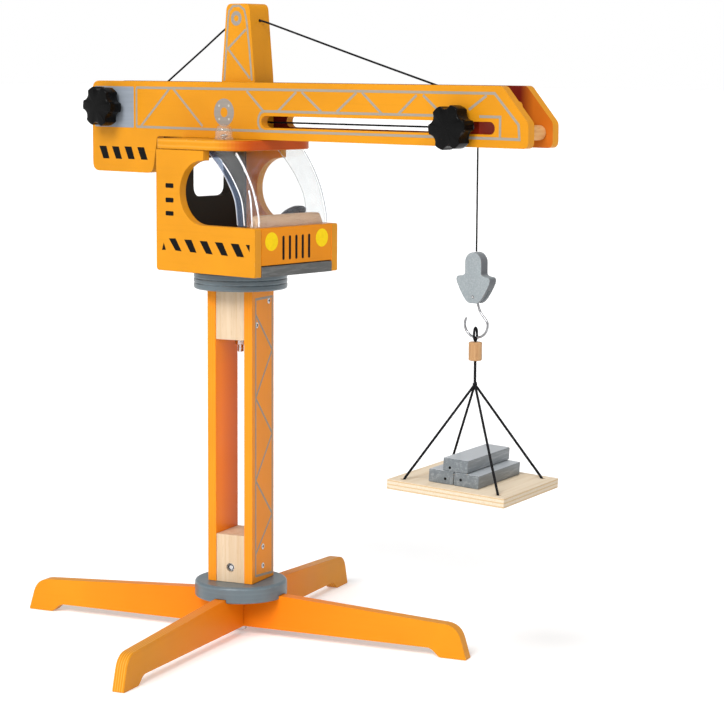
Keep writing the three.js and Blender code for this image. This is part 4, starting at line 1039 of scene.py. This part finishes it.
CAB_STRIPES = [
    [(-47.8, 370.9), (-42.7, 371.2), (-45.5, 378.0)],
    [(-38.7, 382.2), (-29.9, 382.7), (-21.9, 370.9), (-30.0, 371.3)],
    [(-18.5, 382.2), (-9.0, 382.4), (-2.4, 370.7), (-10.7, 371.0)],
    [(1.5, 382.1), (11.2, 382.1), (18.5, 370.3), (10.0, 370.7)],
    [(21.2, 382.0), (30.9, 381.9), (38.0, 370.1), (29.6, 370.4)],
    [(41.3, 381.8), (51.4, 381.8), (58.3, 370.1), (49.3, 370.2)],
    [(60.2, 381.7), (65.3, 381.7), (65.0, 375.2)],
]
VENTS = [rounded_box(-42.8, low, -32.3, high, 1.1)
         for low, high in ((403.6, 407.8), (415.9, 420.3), (429.5, 433.8))]
WEIGHT_STRIPES = [
    [(-170.4, 464.3), (-160.3, 464.3), (-156.0, 452.2), (-164.6, 452.1)],
    [(-152.4, 464.2), (-142.8, 464.2), (-138.3, 452.3), (-146.7, 452.3)],
    [(-134.8, 464.5), (-125.1, 464.6), (-120.5, 452.5), (-129.2, 452.5)],
    [(-117.0, 464.4), (-107.7, 464.4), (-102.7, 452.5), (-111.6, 452.5)],
]
JIB_LINES = [
    [(-117.6, 484), (-117.6, 521.5)], [(-111.2, 485), (-72.6, 520.8)], [(-67.5, 520.9), (-28.7, 486.3)],
    [(28.3, 519.9), (49.7, 501.5)], [(67.2, 501.8), (89.9, 519.8)], [(96.5, 519.8), (120.4, 502.3)],
    [(138.6, 502.7), (161.7, 520.1)], [(168.2, 520.2), (191, 502.1)], [(209.2, 501.5), (230.3, 518.9)],
    [(237.4, 519), (254.4, 506)], [(287.7, 507.3), (306.4, 519.4)],
    [(-117.6, 521.5), (314.8, 521.4), (340.3, 495.5), (341.3, 483.3), (321, 483.5)],
    [(50.5, 483.6), (45.6, 485.4), (43.3, 489), (42.8, 492.6), (43.6, 496.6), (46, 500.2), (50, 501.7),
     (256, 501.7)],
    [(299, 501.7), (321, 501.7), (321, 483.5)],
    [(-117.6, 484), (44, 483.6), (321, 483.5)],
]
WEIGHT_PANEL = rounded_box(-176, 483, -121.4, 522.4, 1.2)
PEAK_LINES = [
    [(-8.7, 529.1), (-5.9, 559.4), (-3.8, 584.4), (-2.4, 593.2), (2.8, 597.8), (10.9, 598.1), (17.0, 594.4),
     (20.0, 584.2), (23.4, 559.4), (26.6, 529.5)],
    [(19.0, 576.2), (-3.9, 558.7), (24.0, 531.6)],
]
MAST_LINES = [
    [(-15.5, 60.8), (-15.3, 325.6), (19.5, 325.5), (19.9, 57.8), (-16.4, 60.8)],
    [(-15.3, 311.3), (19.6, 274.6), (-15.4, 232.1), (19.7, 193.8), (-15.4, 153.1), (19.8, 115.4),
     (-15.4, 81.9)],
]
GRILLE = [rounded_box(y - 1.5, 366.2, y + 1.5, 388.5, 1.4) for y in [-18.7 + 8.82 * i for i in range(5)]]
LAMPS = [disc_outline(y, 384, 8.5, 48) for y in (-34.7, 34.5)]
RING_X, RING_Z = -0.7, 499.8
RING_DOTS = [disc_outline(RING_X + 8.7 * math.cos(a), RING_Z + 8.7 * math.sin(a), 1.1, 16)
             for a in (0.8, 2.37, 3.94, 5.5)]
JIB_RING, PEAK_RING = ring_outline(RING_X, RING_Z, 12.8, 4.6), ring_outline(6.8, 586.5, 6.7, 2.9)
JIB_LATTICE = [stroke(line, 2.3) for line in JIB_LINES]
PEAK_LATTICE = [stroke(line, 2.2) for line in PEAK_LINES]
MAST_LATTICE = [stroke(line, 2.3) for line in MAST_LINES]

# How far the printed faces stand from the middle of the crane, or of the stand or load.
CAB_FACE, JIB_FACE, PEAK_FACE, MAST_FACE, FRONT_FACE, BEAM_END = 56.8, 21.6, 12.8, 23.6, 71.9, -39.0

for label, side in (("right", -1), ("left", 1)):
    for name, groups, finish, face in (
        ("cab_stripes", [CAB_STRIPES], "black_ink", CAB_FACE),
        ("cab_vents", [VENTS], "black_ink", CAB_FACE),
        ("weight_stripes", [WEIGHT_STRIPES], "black_ink", JIB_FACE),
        ("jib_lattice", JIB_LATTICE, "line", JIB_FACE),
        ("weight_panel", [[WEIGHT_PANEL]], "line_grey", JIB_FACE),
        ("jib_ring", [JIB_RING], "line_warm", JIB_FACE),
        ("jib_ring_dots", [RING_DOTS], "line_pale", JIB_FACE + 0.07),
        ("peak_lattice", PEAK_LATTICE, "line", PEAK_FACE),
        ("peak_ring", [PEAK_RING], "line_warm", PEAK_FACE),
    ):
        printed(f"{name}_{label}", groups, finish, "upper", "Y", side * face, side)
    printed(f"mast_lattice_{label}", MAST_LATTICE, "line", "stand", "X", side * MAST_FACE, side, STAND)

# Black ink discs on the beam ends stand for nail holes: painted shade in the holes.
for body, x, z in (("beam_left", -8.6, 190.3), ("beam_right", 6.2, 191.4), ("beam_upper", -4.8, 200.6)):
    hole = disc_outline(x, z, 1.25, 20)
    printed(f"{body}_nail_hole_painted_shade", [[hole]], "black_ink", body, "Y", BEAM_END, -1, DECK)
printed("cab_lamps", [LAMPS], "yellow_ink", "upper", "X", FRONT_FACE, 1)
printed("cab_grille", [GRILLE], "black_ink", "upper", "X", FRONT_FACE, 1)
